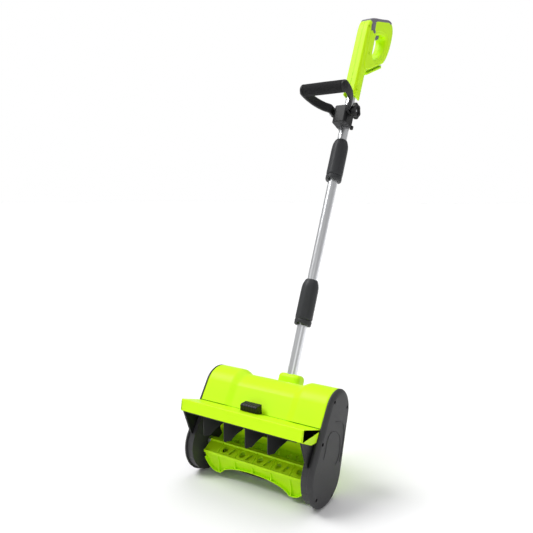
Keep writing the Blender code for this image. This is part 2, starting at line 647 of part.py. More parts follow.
def handle_shells():
    """The two lime halves. They meet at x = 0, and are hollow round the tube, the switch and the cable."""
    cavity = grown(HANDLE_LINE, -HANDLE_WALL)
    island = grown(FINGER_LINE, HANDLE_WALL)
    notch = [(-0.0135, HANDLE_FOOT - 0.01), *reversed(arc((0, HANDLE_FOOT + 0.005), 0.0135, 0, 180, 8)),
             (0.0135, HANDLE_FOOT - 0.01)]
    for side, name in ((-1, "left"), (1, "right")):
        made = prism(f"handle_{name}", "YZ", [HANDLE_LINE, FINGER_LINE], -HANDLE_HALF, HANDLE_HALF)
        keep(made, shaft_frame, lime)
        edges = made.modifiers.new("edges", "BEVEL")
        edges.width = 0.0045
        edges.segments = 2
        edges.limit_method = "ANGLE"
        edges.angle_limit = radians(60)
        other = sorted((-side * 0.05, side * GAP / 2))
        hollow = sorted((side * (HANDLE_HALF - HANDLE_WALL), -side * 0.01))
        cut(made,
            box(f"handle_split_{name}", (other[0], -0.05, 0.70), (other[1], 0.16, 1.06)),
            prism(f"handle_hollow_{name}", "YZ", [cavity, island], *hollow),
            prism(f"handle_notch_{name}", "XZ", [notch], -0.05, 0.05),
            box(f"handle_foot_{name}", (-0.0150, -0.0145, 0.70), (0.0150, 0.0165, 0.7500)),
            prism(f"handle_trigger_gap_{name}", "YZ", [trigger_gap()], -0.0075, 0.0075))
    cut(made, at(rod("lock_button_bore", 0.0053, 0.005, 0.03, "X", 16), LOCK_BUTTON))


def trigger_gap():
    """The opening in the grip's underside that the trigger comes through."""
    return [(0.0430, 0.9480), (0.0745, 0.9650), (0.0660, 0.9830), (0.0350, 0.9670)]


def trigger_parts():
    """The trigger and its spring, the switch that it presses, and the lock button beside the grip."""
    blade = [(-0.0040, 0.0080), (0.0300, 0.0080), (0.0290, -0.0030), (0.0220, -0.0120), (0.0080, -0.0150),
             (-0.0010, -0.0110)]
    made = prism("trigger", "YZ", [blade], -0.0070, 0.0070)
    keep(made, trigger_frame, trigger_grey)
    edges = made.modifiers.new("edges", "BEVEL")
    edges.width = 0.002
    edges.segments = 2
    coils, radius, height = 4, 0.0028, 0.0085
    path = []
    for i in range(coils * 10 + 1):
        angle = 2 * pi * i / 10
        path.append((radius * cos(angle), 0.0235 + radius * sin(angle), 0.0090 + height * i / (coils * 10)))
    keep(sweep("trigger_spring", path, 0.0004, 1), trigger_spring_frame, steel)
    keep(box("trigger_switch", (-0.0080, 0.0030, 0.0115), (0.0080, 0.0180, 0.0225)), switch_frame, liner_black)
    button = rod("lock_button", 0.0050, HANDLE_HALF - HANDLE_WALL - 0.0035, HANDLE_HALF + 0.0040, "X", 16)
    keep(button, button_frame, trigger_grey)


def grip_overmould():
    """The soft grey cover over the top of the grip, moulded round its upper half."""
    shell = HANDLE_LINE[3:8]
    outer = [(y - 0.0006, z + 0.0012) for y, z in shell]
    made = prism("grip_overmould", "YZ", [ribbon(outer, 0.0016)], -0.0120, 0.0120)
    return keep(made, shaft_frame, trigger_grey)


def battery_mount():
    """The slide under the handle that a battery pack pushes onto, with a groove down each side."""
    start, end = (Vector(point) for point in RAIL_LINE)
    along = (end - start).normalized()
    out = Vector((along.y, -along.x))

    def place(u, v):
        return tuple(start + along * u + out * v)

    span = (end - start).length
    block = [place(0.0, GAP), place(span, GAP), place(span, 0.0086), place(0.0, 0.0086)]
    made = prism("battery_mount", "YZ", [block], -0.0172, 0.0172)
    keep(made, shaft_frame, lime)
    groove_line = [place(-0.01, 0.0018), place(span - 0.006, 0.0018), place(span - 0.006, 0.0040), place(-0.01, 0.0040)]
    cut(made, prism("mount_groove_left", "YZ", [groove_line], -0.03, -0.0130),
        prism("mount_groove_right", "YZ", [groove_line], 0.0130, 0.03))


clear_scene()
parts = new_collection("cordless_snow_shovel")
cutters = new_collection("cutters")
lime = material("lime_plastic", (0.60, 0.93, 0.02), 0.38)
rotor_lime = material("rotor_plastic", (0.40, 0.68, 0.02), 0.42)
cover_black = material("cover_plastic", (0.055, 0.055, 0.057), 0.50)
liner_black = material("black_plastic", (0.022, 0.022, 0.024), 0.48)
sleeve_grey = material("sleeve_plastic", (0.070, 0.072, 0.076), 0.55)
trigger_grey = material("soft_grey_plastic", (0.17, 0.16, 0.19), 0.60)
foam_black = material("foam", (0.018, 0.018, 0.019), 0.92)
belt_black = material("rubber", (0.015, 0.015, 0.016), 0.80)
alloy = material("tube_alloy", (0.72, 0.73, 0.75), 0.32, 1.0)
steel = material("zinc_steel", (0.55, 0.56, 0.58), 0.35, 1.0)
motor_grey = material("motor_paint", (0.10, 0.11, 0.12), 0.45, 0.6)
pulley_grey = material("pulley_alloy", (0.45, 0.46, 0.48), 0.40, 1.0)

head_frame = empty("head_frame", None, (0, FRAME_Y, 0))
rotor_frame = empty("rotor_frame", head_frame, (0, *ROTOR_AXIS))
motor_frame = empty("motor_frame", head_frame, (0, *MOTOR_AXIS))
vane_frames = [empty(f"vane_frame_{i}", head_frame, (x, VANE_Y, 0), (0, 0, -VANE_REST))
               for i, x in enumerate(VANE_PIVOTS, 1)]
slider_frame = empty("slider_frame", head_frame, (KNOB_X, 0, 0))
shaft_frame = empty("shaft_frame", head_frame, (0, *SHAFT_FOOT), (-SHAFT_LEAN, 0, 0))
lower_ring_frame = empty("lower_ring_frame", shaft_frame, (0, 0, 0))
upper_ring_frame = empty("upper_ring_frame", shaft_frame, (0, 0, 0))
clamp_frame = empty("clamp_frame", shaft_frame, (0, 0, CLAMP_AT))
knob_frame = empty("knob_frame", clamp_frame, (0, BAIL_PIVOT_Y, 0))
bail_frame = empty("bail_frame_pivot", clamp_frame, (0, BAIL_PIVOT_Y, 0))
trigger_frame = empty("trigger_frame", shaft_frame, (0, 0.0440, 0.9600), (radians(28), 0, 0))
trigger_spring_frame = empty("trigger_spring_frame", shaft_frame, (0, 0.0440, 0.9600), (radians(28), 0, 0))
switch_frame = empty("switch_frame", shaft_frame, (0, 0.0440, 0.9600), (radians(28), 0, 0))
button_frame = empty("button_frame", shaft_frame, LOCK_BUTTON)

housing_shell()
visor()
hood_liner()
for side in (-1, 1):
    side_frame(side)
    hood_wing(side)
    end_cover(side)
scraper_bar()
tube_socket()
rotor()
drive()
vanes()
deflector_slider()
tubes()
sleeve("lower", SLEEVE_STARTS[0], lower_ring_frame)
sleeve("upper", SLEEVE_STARTS[1], upper_ring_frame)
clamp()
bail()
handle_shells()
grip_overmould()
trigger_parts()
battery_mount()
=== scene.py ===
import math

import bmesh
import bpy
import numpy as np
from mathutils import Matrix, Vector


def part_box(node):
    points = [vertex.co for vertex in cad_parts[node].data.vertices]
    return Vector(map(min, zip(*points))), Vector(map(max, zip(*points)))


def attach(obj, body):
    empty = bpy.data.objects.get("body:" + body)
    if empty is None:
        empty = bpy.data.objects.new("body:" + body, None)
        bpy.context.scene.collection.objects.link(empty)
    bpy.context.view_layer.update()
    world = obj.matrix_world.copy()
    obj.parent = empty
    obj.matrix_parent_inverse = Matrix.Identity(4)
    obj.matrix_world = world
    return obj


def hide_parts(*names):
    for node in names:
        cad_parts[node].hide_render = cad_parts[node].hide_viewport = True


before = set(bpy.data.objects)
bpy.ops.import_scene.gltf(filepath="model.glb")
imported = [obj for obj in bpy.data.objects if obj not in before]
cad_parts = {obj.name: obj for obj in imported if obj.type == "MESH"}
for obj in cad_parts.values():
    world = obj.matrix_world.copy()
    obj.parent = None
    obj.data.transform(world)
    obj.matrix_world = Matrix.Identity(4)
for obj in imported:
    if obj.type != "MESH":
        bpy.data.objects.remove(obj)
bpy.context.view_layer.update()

# The head stands on its two end covers; the shaft leans back from the socket on the housing.
place = {
    "headY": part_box("end_cover_left")[0].y + 0.0682,
    "coverFace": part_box("end_cover_right")[1].x,
    "shaftFoot": (0.127, 0.2175),
    "shaftLean": math.radians(23),
    "clampAt": 0.677,
    "boltY": -0.026,
}


# Surface helpers


def onHead(points):  # head coordinates to the row frame: only the depth is shifted
    return np.asarray(points, float) + np.array([0.0, place["headY"], 0.0])


def onShaft(points):  # turns about X by the lean, then moves to the foot of the shaft
    p = np.asarray(points, float)
    c, s = math.cos(place["shaftLean"]), math.sin(place["shaftLean"])
    y = place["shaftFoot"][0] + p[..., 1] * c + p[..., 2] * s
    z = place["shaftFoot"][1] - p[..., 1] * s + p[..., 2] * c
    return onHead(np.stack([p[..., 0], y, z], -1))


def onClamp(points):  # the same lean, measured from the clamp's bolt
    return onShaft(np.asarray(points, float) + np.array([0.0, place["boltY"], place["clampAt"]]))


def alongX(rows):  # (u, v, w) rows to (x, y, z) with the thickness across the tool
    return np.stack([rows[..., 2], rows[..., 0], rows[..., 1]], -1)


def quadFaces(rows, columns, wrapRows=False, wrapColumns=True):  # corner numbers of every cell of a grid
    i = np.arange(rows if wrapRows else rows - 1)[:, None]
    j = np.arange(columns if wrapColumns else columns - 1)[None, :]
    i2, j2 = (i + 1) % rows, (j + 1) % columns
    cells = np.stack([i * columns + j, i2 * columns + j, i2 * columns + j2, i * columns + j2], -1)
    return cells.reshape(-1, 4)


def newObject(name, points, faces, closed=True):
    mesh = bpy.data.meshes.new(name)
    mesh.from_pydata(np.asarray(points, float).reshape(-1, 3).tolist(), [], faces)
    made = bpy.data.objects.new(name, mesh)
    bpy.context.scene.collection.objects.link(made)
    work = bmesh.new()
    work.from_mesh(mesh)
    bmesh.ops.remove_doubles(work, verts=work.verts, dist=1e-6)
    bmesh.ops.recalc_face_normals(work, faces=work.faces)
    if closed and work.calc_volume(signed=True) < 0:
        bmesh.ops.reverse_faces(work, faces=work.faces)
    work.to_mesh(mesh)
    work.free()
    return made


def gridPiece(name, grid, wrapRows=False, wrapColumns=True, caps=True):
    # a surface on a grid of points; its first and last rows are each closed by one face
    rows, columns = grid.shape[:2]
    faces = quadFaces(rows, columns, wrapRows, wrapColumns).tolist()
    if caps and not wrapRows:
        faces.append(list(range(columns))[::-1])
        faces.append(list(range((rows - 1) * columns, rows * columns)))
    return newObject(name, grid, faces, caps or wrapRows)


def filleted(corners, radius, steps=6):
    # each corner becomes a quadratic curve between two points set back along its edges
    p = np.asarray(corners, float)
    before, after = np.roll(p, 1, 0) - p, np.roll(p, -1, 0) - p
    lb, la = np.linalg.norm(before, axis=1), np.linalg.norm(after, axis=1)
    back = np.minimum(np.broadcast_to(radius, lb.shape), 0.49 * np.minimum(lb, la))
    a = (p + before / lb[:, None] * back[:, None])[:, None]
    b = (p + after / la[:, None] * back[:, None])[:, None]
    t = np.linspace(0, 1, steps)[None, :, None]
    return ((1 - t) ** 2 * a + 2 * t * (1 - t) * p[:, None] + t**2 * b).reshape(-1, 2)


def spread(loop, count):  # the same closed outline with evenly spaced points
    ring = np.vstack([loop, loop[:1]])
    run = np.concatenate([[0], np.cumsum(np.linalg.norm(np.diff(ring, axis=0), axis=1))])
    at = np.linspace(0, run[-1], count, endpoint=False)
    return np.stack([np.interp(at, run, ring[:, 0]), np.interp(at, run, ring[:, 1])], -1)


def inset(loop, distance):  # an outline moved inwards along the normal of its neighbouring points' chord
    turned = np.sum(loop[:, 0] * np.roll(loop[:, 1], -1) - np.roll(loop[:, 0], -1) * loop[:, 1])
    chord = np.roll(loop, -1, 0) - np.roll(loop, 1, 0)
    normal = np.stack([-chord[:, 1], chord[:, 0]], -1)
    normal /= np.maximum(np.linalg.norm(normal, axis=1), 1e-12)[:, None]
    return loop + np.sign(turned) * normal * distance


def layered(loop, low, high, edge, steps=6, squeeze=1.0):
    # an outline drawn through a thickness; at both ends it pulls in round a quarter circle
    turn = np.linspace(0, math.pi / 2, steps)
    rise, pull = edge * squeeze * (1 - np.cos(turn)), edge * (1 - np.sin(turn))
    heights = np.concatenate([low + rise, (high - rise)[::-1]])
    pulls = np.concatenate([pull, pull[::-1]])
    return np.array([np.column_stack([inset(loop, d), np.full(len(loop), h)]) for d, h in zip(pulls, heights)])


def turnedPiece(name, profile, centre, toRow, axis="z", sides=64, wave=None):
    # a (radius, height) profile carried round an axis; wave(angle, height) scales the radius
    p = np.asarray(profile, float)
    angle = np.linspace(0, 2 * math.pi, sides, endpoint=False)[None, :]
    radius = p[:, :1] * (wave(angle, p[:, 1:]) if wave else np.ones_like(angle))
    u, v = radius * np.cos(angle), radius * np.sin(angle)
    w = np.broadcast_to(p[:, 1:], u.shape)
    grid = np.stack([u, v, w] if axis == "z" else [w, u, v], -1) + np.asarray(centre, float)
    return gridPiece(name, toRow(grid), caps=True)


def rounded(profile, radius, steps=5):  # an open (radius, height) profile with eased corners
    p = np.asarray(profile, float)
    inner = filleted(p, radius, steps).reshape(len(p), steps, 2)[1:-1].reshape(-1, 2)
    return np.vstack([p[:1], inner, p[-1:]])


def joined(name, *pieces):
    work = bmesh.new()
    for piece in pieces:
        work.from_mesh(piece.data)
        bpy.data.objects.remove(piece)
    mesh = bpy.data.meshes.new(name)
    work.to_mesh(mesh)
    work.free()
    made = bpy.data.objects.new(name, mesh)
    bpy.context.scene.collection.objects.link(made)
    return made


def carved(piece, *tools):  # boolean difference, applied
    for number, tool in enumerate(tools):
        cut = piece.modifiers.new(f"cut{number}", "BOOLEAN")
        cut.operation = "DIFFERENCE"
        cut.solver = "EXACT"
        cut.object = tool
    applied(piece)
    for tool in tools:
        bpy.data.objects.remove(tool)
    return piece


def applied(piece):
    graph = bpy.context.evaluated_depsgraph_get()
    mesh = bpy.data.meshes.new_from_object(piece.evaluated_get(graph))
    piece.modifiers.clear()
    piece.data = mesh
    return piece


def finished(piece, body, material, slot, *stoodFor, sharp=38):
    mesh = piece.data
    mesh.polygons.foreach_set("use_smooth", np.ones(len(mesh.polygons), bool))
    mesh.set_sharp_from_angle(angle=math.radians(sharp))
    mesh.materials.clear()
    mesh.materials.append(material)
    shading = piece.modifiers.new("shading", "WEIGHTED_NORMAL")  # large flat faces stay flat beside rounded edges
    shading.keep_sharp, shading.weight = True, 80
    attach(piece, body)
    if stoodFor:
        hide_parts(*stoodFor)
    return piece


# Materials


def addNode(tree, kind, **values):
    node = tree.nodes.new(kind)
    for name, value in values.items():
        if hasattr(node, name):
            setattr(node, name, value)
        else:
            node.inputs[name.replace("_", " ")].default_value = value
    return node


def mouldedSurface():
    # colour drifts a little with slow noise, and fine noise gives the grain's height and roughness
    tree = bpy.data.node_groups.new("mouldedSurface", "ShaderNodeTree")
    face = tree.interface
    face.new_socket(name="Vector", in_out="INPUT", socket_type="NodeSocketVector")
    face.new_socket(name="Colour", in_out="INPUT", socket_type="NodeSocketColor")
    for name, value in (("Drift", 0.05), ("Grain Scale", 900.0), ("Roughness", 0.4), ("Roughness Spread", 0.06),
                        ("Wear", 0.0)):
        made = face.new_socket(name=name, in_out="INPUT", socket_type="NodeSocketFloat")
        made.default_value = value
    face.new_socket(name="Colour", in_out="OUTPUT", socket_type="NodeSocketColor")
    face.new_socket(name="Roughness", in_out="OUTPUT", socket_type="NodeSocketFloat")
    face.new_socket(name="Height", in_out="OUTPUT", socket_type="NodeSocketFloat")
    link = tree.links.new
    start, end = addNode(tree, "NodeGroupInput"), addNode(tree, "NodeGroupOutput")
    slow = addNode(tree, "ShaderNodeTexNoise", Scale=14.0, Detail=3.0)
    fine = addNode(tree, "ShaderNodeTexNoise", Detail=2.0)
    smear = addNode(tree, "ShaderNodeTexNoise", Scale=60.0, Detail=5.0, Roughness=0.65)
    link(start.outputs["Vector"], slow.inputs["Vector"])
    link(start.outputs["Vector"], fine.inputs["Vector"])
    link(start.outputs["Vector"], smear.inputs["Vector"])
    link(start.outputs["Grain Scale"], fine.inputs["Scale"])
    # value = 1 + drift * (slow noise - 0.5) * 2
    centred = addNode(tree, "ShaderNodeMath", operation="MULTIPLY_ADD")
    centred.inputs[1].default_value, centred.inputs[2].default_value = 2.0, -1.0
    link(slow.outputs["Fac"], centred.inputs[0])
    value = addNode(tree, "ShaderNodeMath", operation="MULTIPLY_ADD")
    value.inputs[2].default_value = 1.0
    link(centred.outputs[0], value.inputs[0])
    link(start.outputs["Drift"], value.inputs[1])
    tint = addNode(tree, "ShaderNodeHueSaturation")
    link(start.outputs["Colour"], tint.inputs["Color"])
    link(value.outputs[0], tint.inputs["Value"])
    # dust lies where the smeared noise is high
    dust = addNode(tree, "ShaderNodeMapRange")
    dust.inputs["From Min"].default_value, dust.inputs["From Max"].default_value = 0.52, 0.78
    link(smear.outputs["Fac"], dust.inputs["Value"])
    amount = addNode(tree, "ShaderNodeMath", operation="MULTIPLY")
    link(dust.outputs["Result"], amount.inputs[0])
    link(start.outputs["Wear"], amount.inputs[1])
    mixed = addNode(tree, "ShaderNodeMix", data_type="RGBA")
    link(amount.outputs[0], mixed.inputs["Factor"])
    link(tint.outputs["Color"], mixed.inputs[6])
    mixed.inputs[7].default_value = (0.55, 0.56, 0.55, 1)
    link(mixed.outputs[2], end.inputs["Colour"])
    # roughness = base + spread * (smear - 0.5)
    off = addNode(tree, "ShaderNodeMath", operation="SUBTRACT")
    off.inputs[1].default_value = 0.5
    link(smear.outputs["Fac"], off.inputs[0])
    rough = addNode(tree, "ShaderNodeMath", operation="MULTIPLY_ADD")
    link(off.outputs[0], rough.inputs[0])
    link(start.outputs["Roughness Spread"], rough.inputs[1])
    link(start.outputs["Roughness"], rough.inputs[2])
    link(rough.outputs[0], end.inputs["Roughness"])
    link(fine.outputs["Fac"], end.inputs["Height"])
    return tree


grainGroup = mouldedSurface()


def mouldedMaterial(name, colour, roughness=0.4, spread=0.08, drift=0.04, grain=900.0, bump=0.05, wear=0.0,
                    metallic=0.0, coat=0.0, stretch=(1, 1, 1), lean=0.0, specular=0.5):
    made = bpy.data.materials.new(name)
    made.use_nodes = True
    tree = made.node_tree
    shader = tree.nodes["Principled BSDF"]
    shader.inputs["Metallic"].default_value = metallic
    shader.inputs["Coat Weight"].default_value = coat
    shader.inputs["Specular IOR Level"].default_value = specular
    coords = addNode(tree, "ShaderNodeTexCoord")
    mapping = addNode(tree, "ShaderNodeMapping")
    mapping.inputs["Scale"].default_value = stretch
    mapping.inputs["Rotation"].default_value = (lean, 0, 0)
    group = addNode(tree, "ShaderNodeGroup")
    group.node_tree = grainGroup
    group.inputs["Colour"].default_value = (*colour, 1)
    group.inputs["Drift"].default_value = drift
    group.inputs["Grain Scale"].default_value = grain
    group.inputs["Roughness"].default_value = roughness
    group.inputs["Roughness Spread"].default_value = spread
    group.inputs["Wear"].default_value = wear
    lift = addNode(tree, "ShaderNodeBump", Strength=bump, Distance=0.0006)
    link = tree.links.new
    link(coords.outputs["Object"], mapping.inputs["Vector"])
    link(mapping.outputs["Vector"], group.inputs["Vector"])
    link(group.outputs["Colour"], shader.inputs["Base Color"])
    link(group.outputs["Roughness"], shader.inputs["Roughness"])
    link(group.outputs["Height"], lift.inputs["Height"])
    link(lift.outputs["Normal"], shader.inputs["Normal"])
    return made


lime = mouldedMaterial("limePlastic", (0.60, 0.97, 0.002), 0.42, 0.10, 0.02, 1100, 0.05, specular=0.22)
rotorLime = mouldedMaterial("rotorPlastic", (0.52, 0.90, 0.002), 0.42, 0.12, 0.04, 900, 0.06, specular=0.22)
coverGrey = mouldedMaterial("coverPlastic", (0.040, 0.040, 0.042), 0.50, 0.14, 0.08, 1400, 0.16,
                            wear=0.02, specular=0.35)
linerBlack = mouldedMaterial("blackPlastic", (0.0085, 0.0085, 0.0095), 0.44, 0.12, 0.08, 1200, 0.10,
                             wear=0.008, specular=0.32)
sleeveGrey = mouldedMaterial("sleevePlastic", (0.030, 0.031, 0.034), 0.46, 0.10, 0.06, 1300, 0.12,
                             wear=0.01, specular=0.35)
softGrey = mouldedMaterial("softGreyPlastic", (0.17, 0.16, 0.20), 0.62, 0.10, 0.05, 1800, 0.20)
foamBlack = mouldedMaterial("foam", (0.011, 0.011, 0.012), 0.88, 0.10, 0.10, 2300, 0.9, wear=0.012, specular=0.3)
rubberBlack = mouldedMaterial("rubber", (0.014, 0.014, 0.015), 0.75, 0.10, 0.06, 1500, 0.2)
alloy = mouldedMaterial("tubeAlloy", (0.80, 0.81, 0.83), 0.30, 0.12, 0.03, 500, 0.10, metallic=1.0,
                        stretch=(6, 6, 0.12), lean=place["shaftLean"])
steel = mouldedMaterial("zincSteel", (0.60, 0.61, 0.63), 0.34, 0.15, 0.05, 700, 0.08, metallic=1.0)
steelDark = mouldedMaterial("screwSteel", (0.035, 0.035, 0.037), 0.38, 0.10, 0.05, 900, 0.08, metallic=0.8)
motorPaint = mouldedMaterial("motorPaint", (0.10, 0.11, 0.12), 0.42, 0.10, 0.05, 900, 0.1, metallic=0.5)
pulleyAlloy = mouldedMaterial("pulleyAlloy", (0.45, 0.46, 0.48), 0.40, 0.12, 0.05, 800, 0.15, metallic=1.0)
print("materials made")


# Head

oval = {"low": (-0.001, 0.0664), "lowRadius": 0.0672, "high": (0.052, 0.1828), "highRadius": 0.0490, "floor": 0.0}


def ovalAngles():  # the two sides are the outer tangents of the lower and the upper circle
    rise = np.subtract(oval["high"], oval["low"])
    taper = math.asin((oval["lowRadius"] - oval["highRadius"]) / np.hypot(*rise))
    front = math.atan2(rise[1], rise[0]) + math.pi / 2 - taper
    return front, front - math.pi + 2 * taper


def circleArc(centre, radius, start, end, steps):  # points at even angles on a circle
    a = np.linspace(start, end, steps)
    return np.stack([centre[0] + radius * np.cos(a), centre[1] + radius * np.sin(a)], -1)


def ovalLoop(count=240):
    front, rear = ovalAngles()
    high = circleArc(oval["high"], oval["highRadius"], rear, front, 60)
    low = circleArc(oval["low"], oval["lowRadius"], front, rear + 2 * math.pi, 80)
    loop = np.vstack([high, low])
    loop[:, 1] = np.maximum(loop[:, 1], oval["floor"])
    return spread(loop, count)


housing = {"half": 0.1580, "wall": 0.003, "start": 0.624, "dip": 0.009, "saddle": 0.070, "shoulder": 0.095,
           "columns": 181, "around": 56}


def smoothStep(t):
    t = np.clip(t, 0, 1)
    return t * t * (3 - 2 * t)


def housingSkin():
    # across: a dip between the shoulders; along: up the front flat, over the top arc, down the rear flat and under
    front, rear = ovalAngles()
    lowEnd = np.array(circleArc(oval["low"], oval["lowRadius"], front, front, 1)[0])
    highEnd = np.array(circleArc(oval["high"], oval["highRadius"], front, front, 1)[0])
    x = np.linspace(-housing["half"], housing["half"], housing["columns"])
    ease = (housing["shoulder"] - np.abs(x)) / (housing["shoulder"] - housing["saddle"])
    dip = housing["dip"] * smoothStep(ease)
    rim = 0.0012 * smoothStep((np.abs(x) - housing["half"] + 0.0025) / 0.0025)  # the edge beside the cover rolls in
    start = lowEnd + housing["start"] * (highEnd - lowEnd)
    line = np.vstack([start[None], circleArc(oval["high"], oval["highRadius"], front, rear, housing["around"]),
                      circleArc(oval["low"], oval["lowRadius"], rear, rear - math.radians(38), 14)])
    centre = np.vstack([np.repeat([oval["high"]], housing["around"] + 1, 0), np.repeat([oval["low"]], 14, 0)])
    out = line - centre
    out[0] = out[1]
    out /= np.linalg.norm(out, axis=1)[:, None]
    k = np.arange(len(line)) / housing["around"] * 14
    fade = np.clip(np.minimum(0.45 + 0.2 * k, 1 - 0.5 * (k - 8) / 6), 0, 1)
    fade[-14:] = 0
    fade[0] = 0.45
    inner = dip[:, None] * fade[None, :] + rim[:, None]
    section = line[None] - out[None] * inner[..., None]
    grid = np.concatenate([np.broadcast_to(x[:, None, None], (*inner.shape, 1)), section], -1)
    skin = gridPiece("housingSkin", onHead(grid), wrapColumns=False, caps=False)
    wall = skin.modifiers.new("wall", "SOLIDIFY")
    wall.thickness, wall.use_even_offset = housing["wall"], True
    top = max(skin.data.polygons, key=lambda face: face.center.z)
    wall.offset = -1.0 if top.normal.z > 0 else 1.0
    applied(skin)
    return finished(skin, "tool", lime, "lime_plastic", "housing_shell", sharp=50)


housingSkin()
print("housing made")

cover = {"inner": 0.1585, "count": 240,
         "screws": ((0.0300, 0.2120), (0.0850, 0.1850), (-0.0195, 0.1390), (0.0655, 0.0870), (-0.0440, 0.0330),
                    (0.0200, 0.0130)),
         "arch": ((-0.0190, 0.1030), (-0.0100, 0.1190), (-0.0020, 0.1390), (0.0060, 0.1490), (0.0190, 0.1520),
                  (0.0420, 0.1430), (0.0520, 0.1320), (0.0546, 0.1180), (0.0520, 0.1000), (0.0450, 0.0840),
                  (0.0300, 0.0730)),
         "bend": ((0.0250, 0.1720), (0.0600, 0.1590), (0.0690, 0.1500), (0.0720, 0.1370), (0.0700, 0.1220),
                  (0.0630, 0.1030), (0.0570, 0.0870), (0.0500, 0.0720))}


def smoothLine(points, count):  # Catmull-Rom curve through the points, at even parameter steps
    p = np.asarray(points, float)
    p = np.vstack([2 * p[0] - p[1], p, 2 * p[-1] - p[-2]])
    t = np.linspace(0, len(p) - 3 - 1e-9, count)
    k = t.astype(int)
    f = (t - k)[:, None]
    a, b, c, d = p[k], p[k + 1], p[k + 2], p[k + 3]
    return 0.5 * (2 * b + (c - a) * f + (2 * a - 5 * b + 4 * c - d) * f**2 + (3 * b - a - 3 * c + d) * f**3)


def raisedLine(name, line, width, height, face, side):
    # a low half-round bead along a line on the cover; it narrows to nothing at both ends
    p = smoothLine(line, 90)
    along = np.gradient(p, axis=0)
    normal = np.stack([-along[:, 1], along[:, 0]], -1) / np.linalg.norm(along, axis=1)[:, None]
    taper = np.minimum(1, np.sin(np.linspace(0, math.pi, 90)) * 6)[:, None]
    a = np.linspace(0, 2 * math.pi, 14, endpoint=False)[None]
    across, up = np.cos(a) * width / 2 * taper, np.sin(a) * height * taper
    yz = p[:, None] + normal[:, None] * across[..., None]
    grid = np.concatenate([(side * (face + up))[..., None], yz], -1)
    return gridPiece(name, onHead(grid))


def endCover(side):
    # oval outlines stepping inwards and outwards: side wall, wide chamfer, flat face
    name = "left" if side < 0 else "right"
    face = place["coverFace"]
    loop = ovalLoop(cover["count"])
    pull = np.array([0.0006, 0.0, 0.0, 0.0006, 0.0020, 0.0068, 0.0082, 0.0094, 0.0100, 0.0106])
    out = np.array([cover["inner"], 0.1590, 0.1612, 0.1624, 0.1638, 0.1664, face - 0.0006, face - 0.0006,
                    face - 0.0002, face])
    rows = np.array([np.column_stack([inset(loop, d), np.full(len(loop), side * w)]) for d, w in zip(pull, out)])
    plate = gridPiece(f"endCover_{name}", onHead(alongX(rows)))
    outer, inner = side * 0.010, -side * 0.0042  # each pit's two ends, from a little inside the face
    pits = [turnedPiece(f"pit{k}", [(0, outer), (0.0036, outer), (0.0036, inner), (0, inner)],
                        (side * (face - 0.0005), *spot), onHead, "x", 24) for k, spot in enumerate(cover["screws"])]
    carved(plate, *pits)
    beads = [raisedLine("bead0", cover["arch"], 0.0034, 0.0015, face - 0.0003, side),
             raisedLine("bead1", cover["bend"], 0.0040, 0.0018, face - 0.0003, side)]
    plate = joined(f"endCover_{name}", plate, *beads)
    finished(plate, "tool", coverGrey, "cover_plastic", f"end_cover_{name}", sharp=30)
    profile = rounded([(0, -0.0044), (0.0030, -0.0044), (0.0030, -0.0020), (0.0012, -0.0016), (0.0010, -0.0030),
                       (0, -0.0030)], 0.0004)
    seat = side * (face - 0.0012) + (0.006 if side < 0 else 0)  # every head's profile points towards +x
    heads = [turnedPiece(f"head{k}", profile, (seat, *spot), onHead, "x", 20)
             for k, spot in enumerate(cover["screws"])]
    screws = joined(f"coverScrews_{name}", *heads)
    finished(screws, "tool", steelDark, "zinc_steel")


rotorSet = {"axis": (-0.001, 0.0678), "half": 0.1338, "lip": (-0.0340, -0.0090), "tip": -0.0555, "archHalf": 0.092,
            "archRise": 0.028, "lobe": 0.0995, "wall": 0.0026, "fins": (-0.096, -0.048, 0.0, 0.048, 0.096),
            "holeRadius": 0.0070, "columns": 181,
            "shelfRise": 0.0168, "shelfRun": 0.0280, "holeCentre": -0.0210}


def bladeEdge(x):
    # the lower edge: half an ellipse in the middle, a quarter ellipse rounding each end
    a = np.clip(1 - (x / rotorSet["archHalf"]) ** 2, 0, 1)
    arch = rotorSet["tip"] - 0.004 + rotorSet["archRise"] * np.sqrt(a)
    u = np.clip((np.abs(x) - rotorSet["lobe"]) / (rotorSet["half"] + 0.0004 - rotorSet["lobe"]), 0, 1)
    lobe = rotorSet["tip"] + 0.0360 * (1 - np.sqrt(1 - u**2))
    return np.maximum(np.maximum(arch, rotorSet["tip"]), lobe)


def bladeDepth(z):  # the scoop's face falls back in a parabola from its lip to its tip
    u = np.clip((rotorSet["lip"][1] - z) / (rotorSet["lip"][1] - rotorSet["tip"]), 0, 1)
    return rotorSet["lip"][0] + 0.0118 * (1 - (1 - u) ** 2)


def onRotor(points, sign):
    p = np.asarray(points, float) * np.array([1, sign, sign])
    return onHead(p + np.array([0.0, *rotorSet["axis"]]))


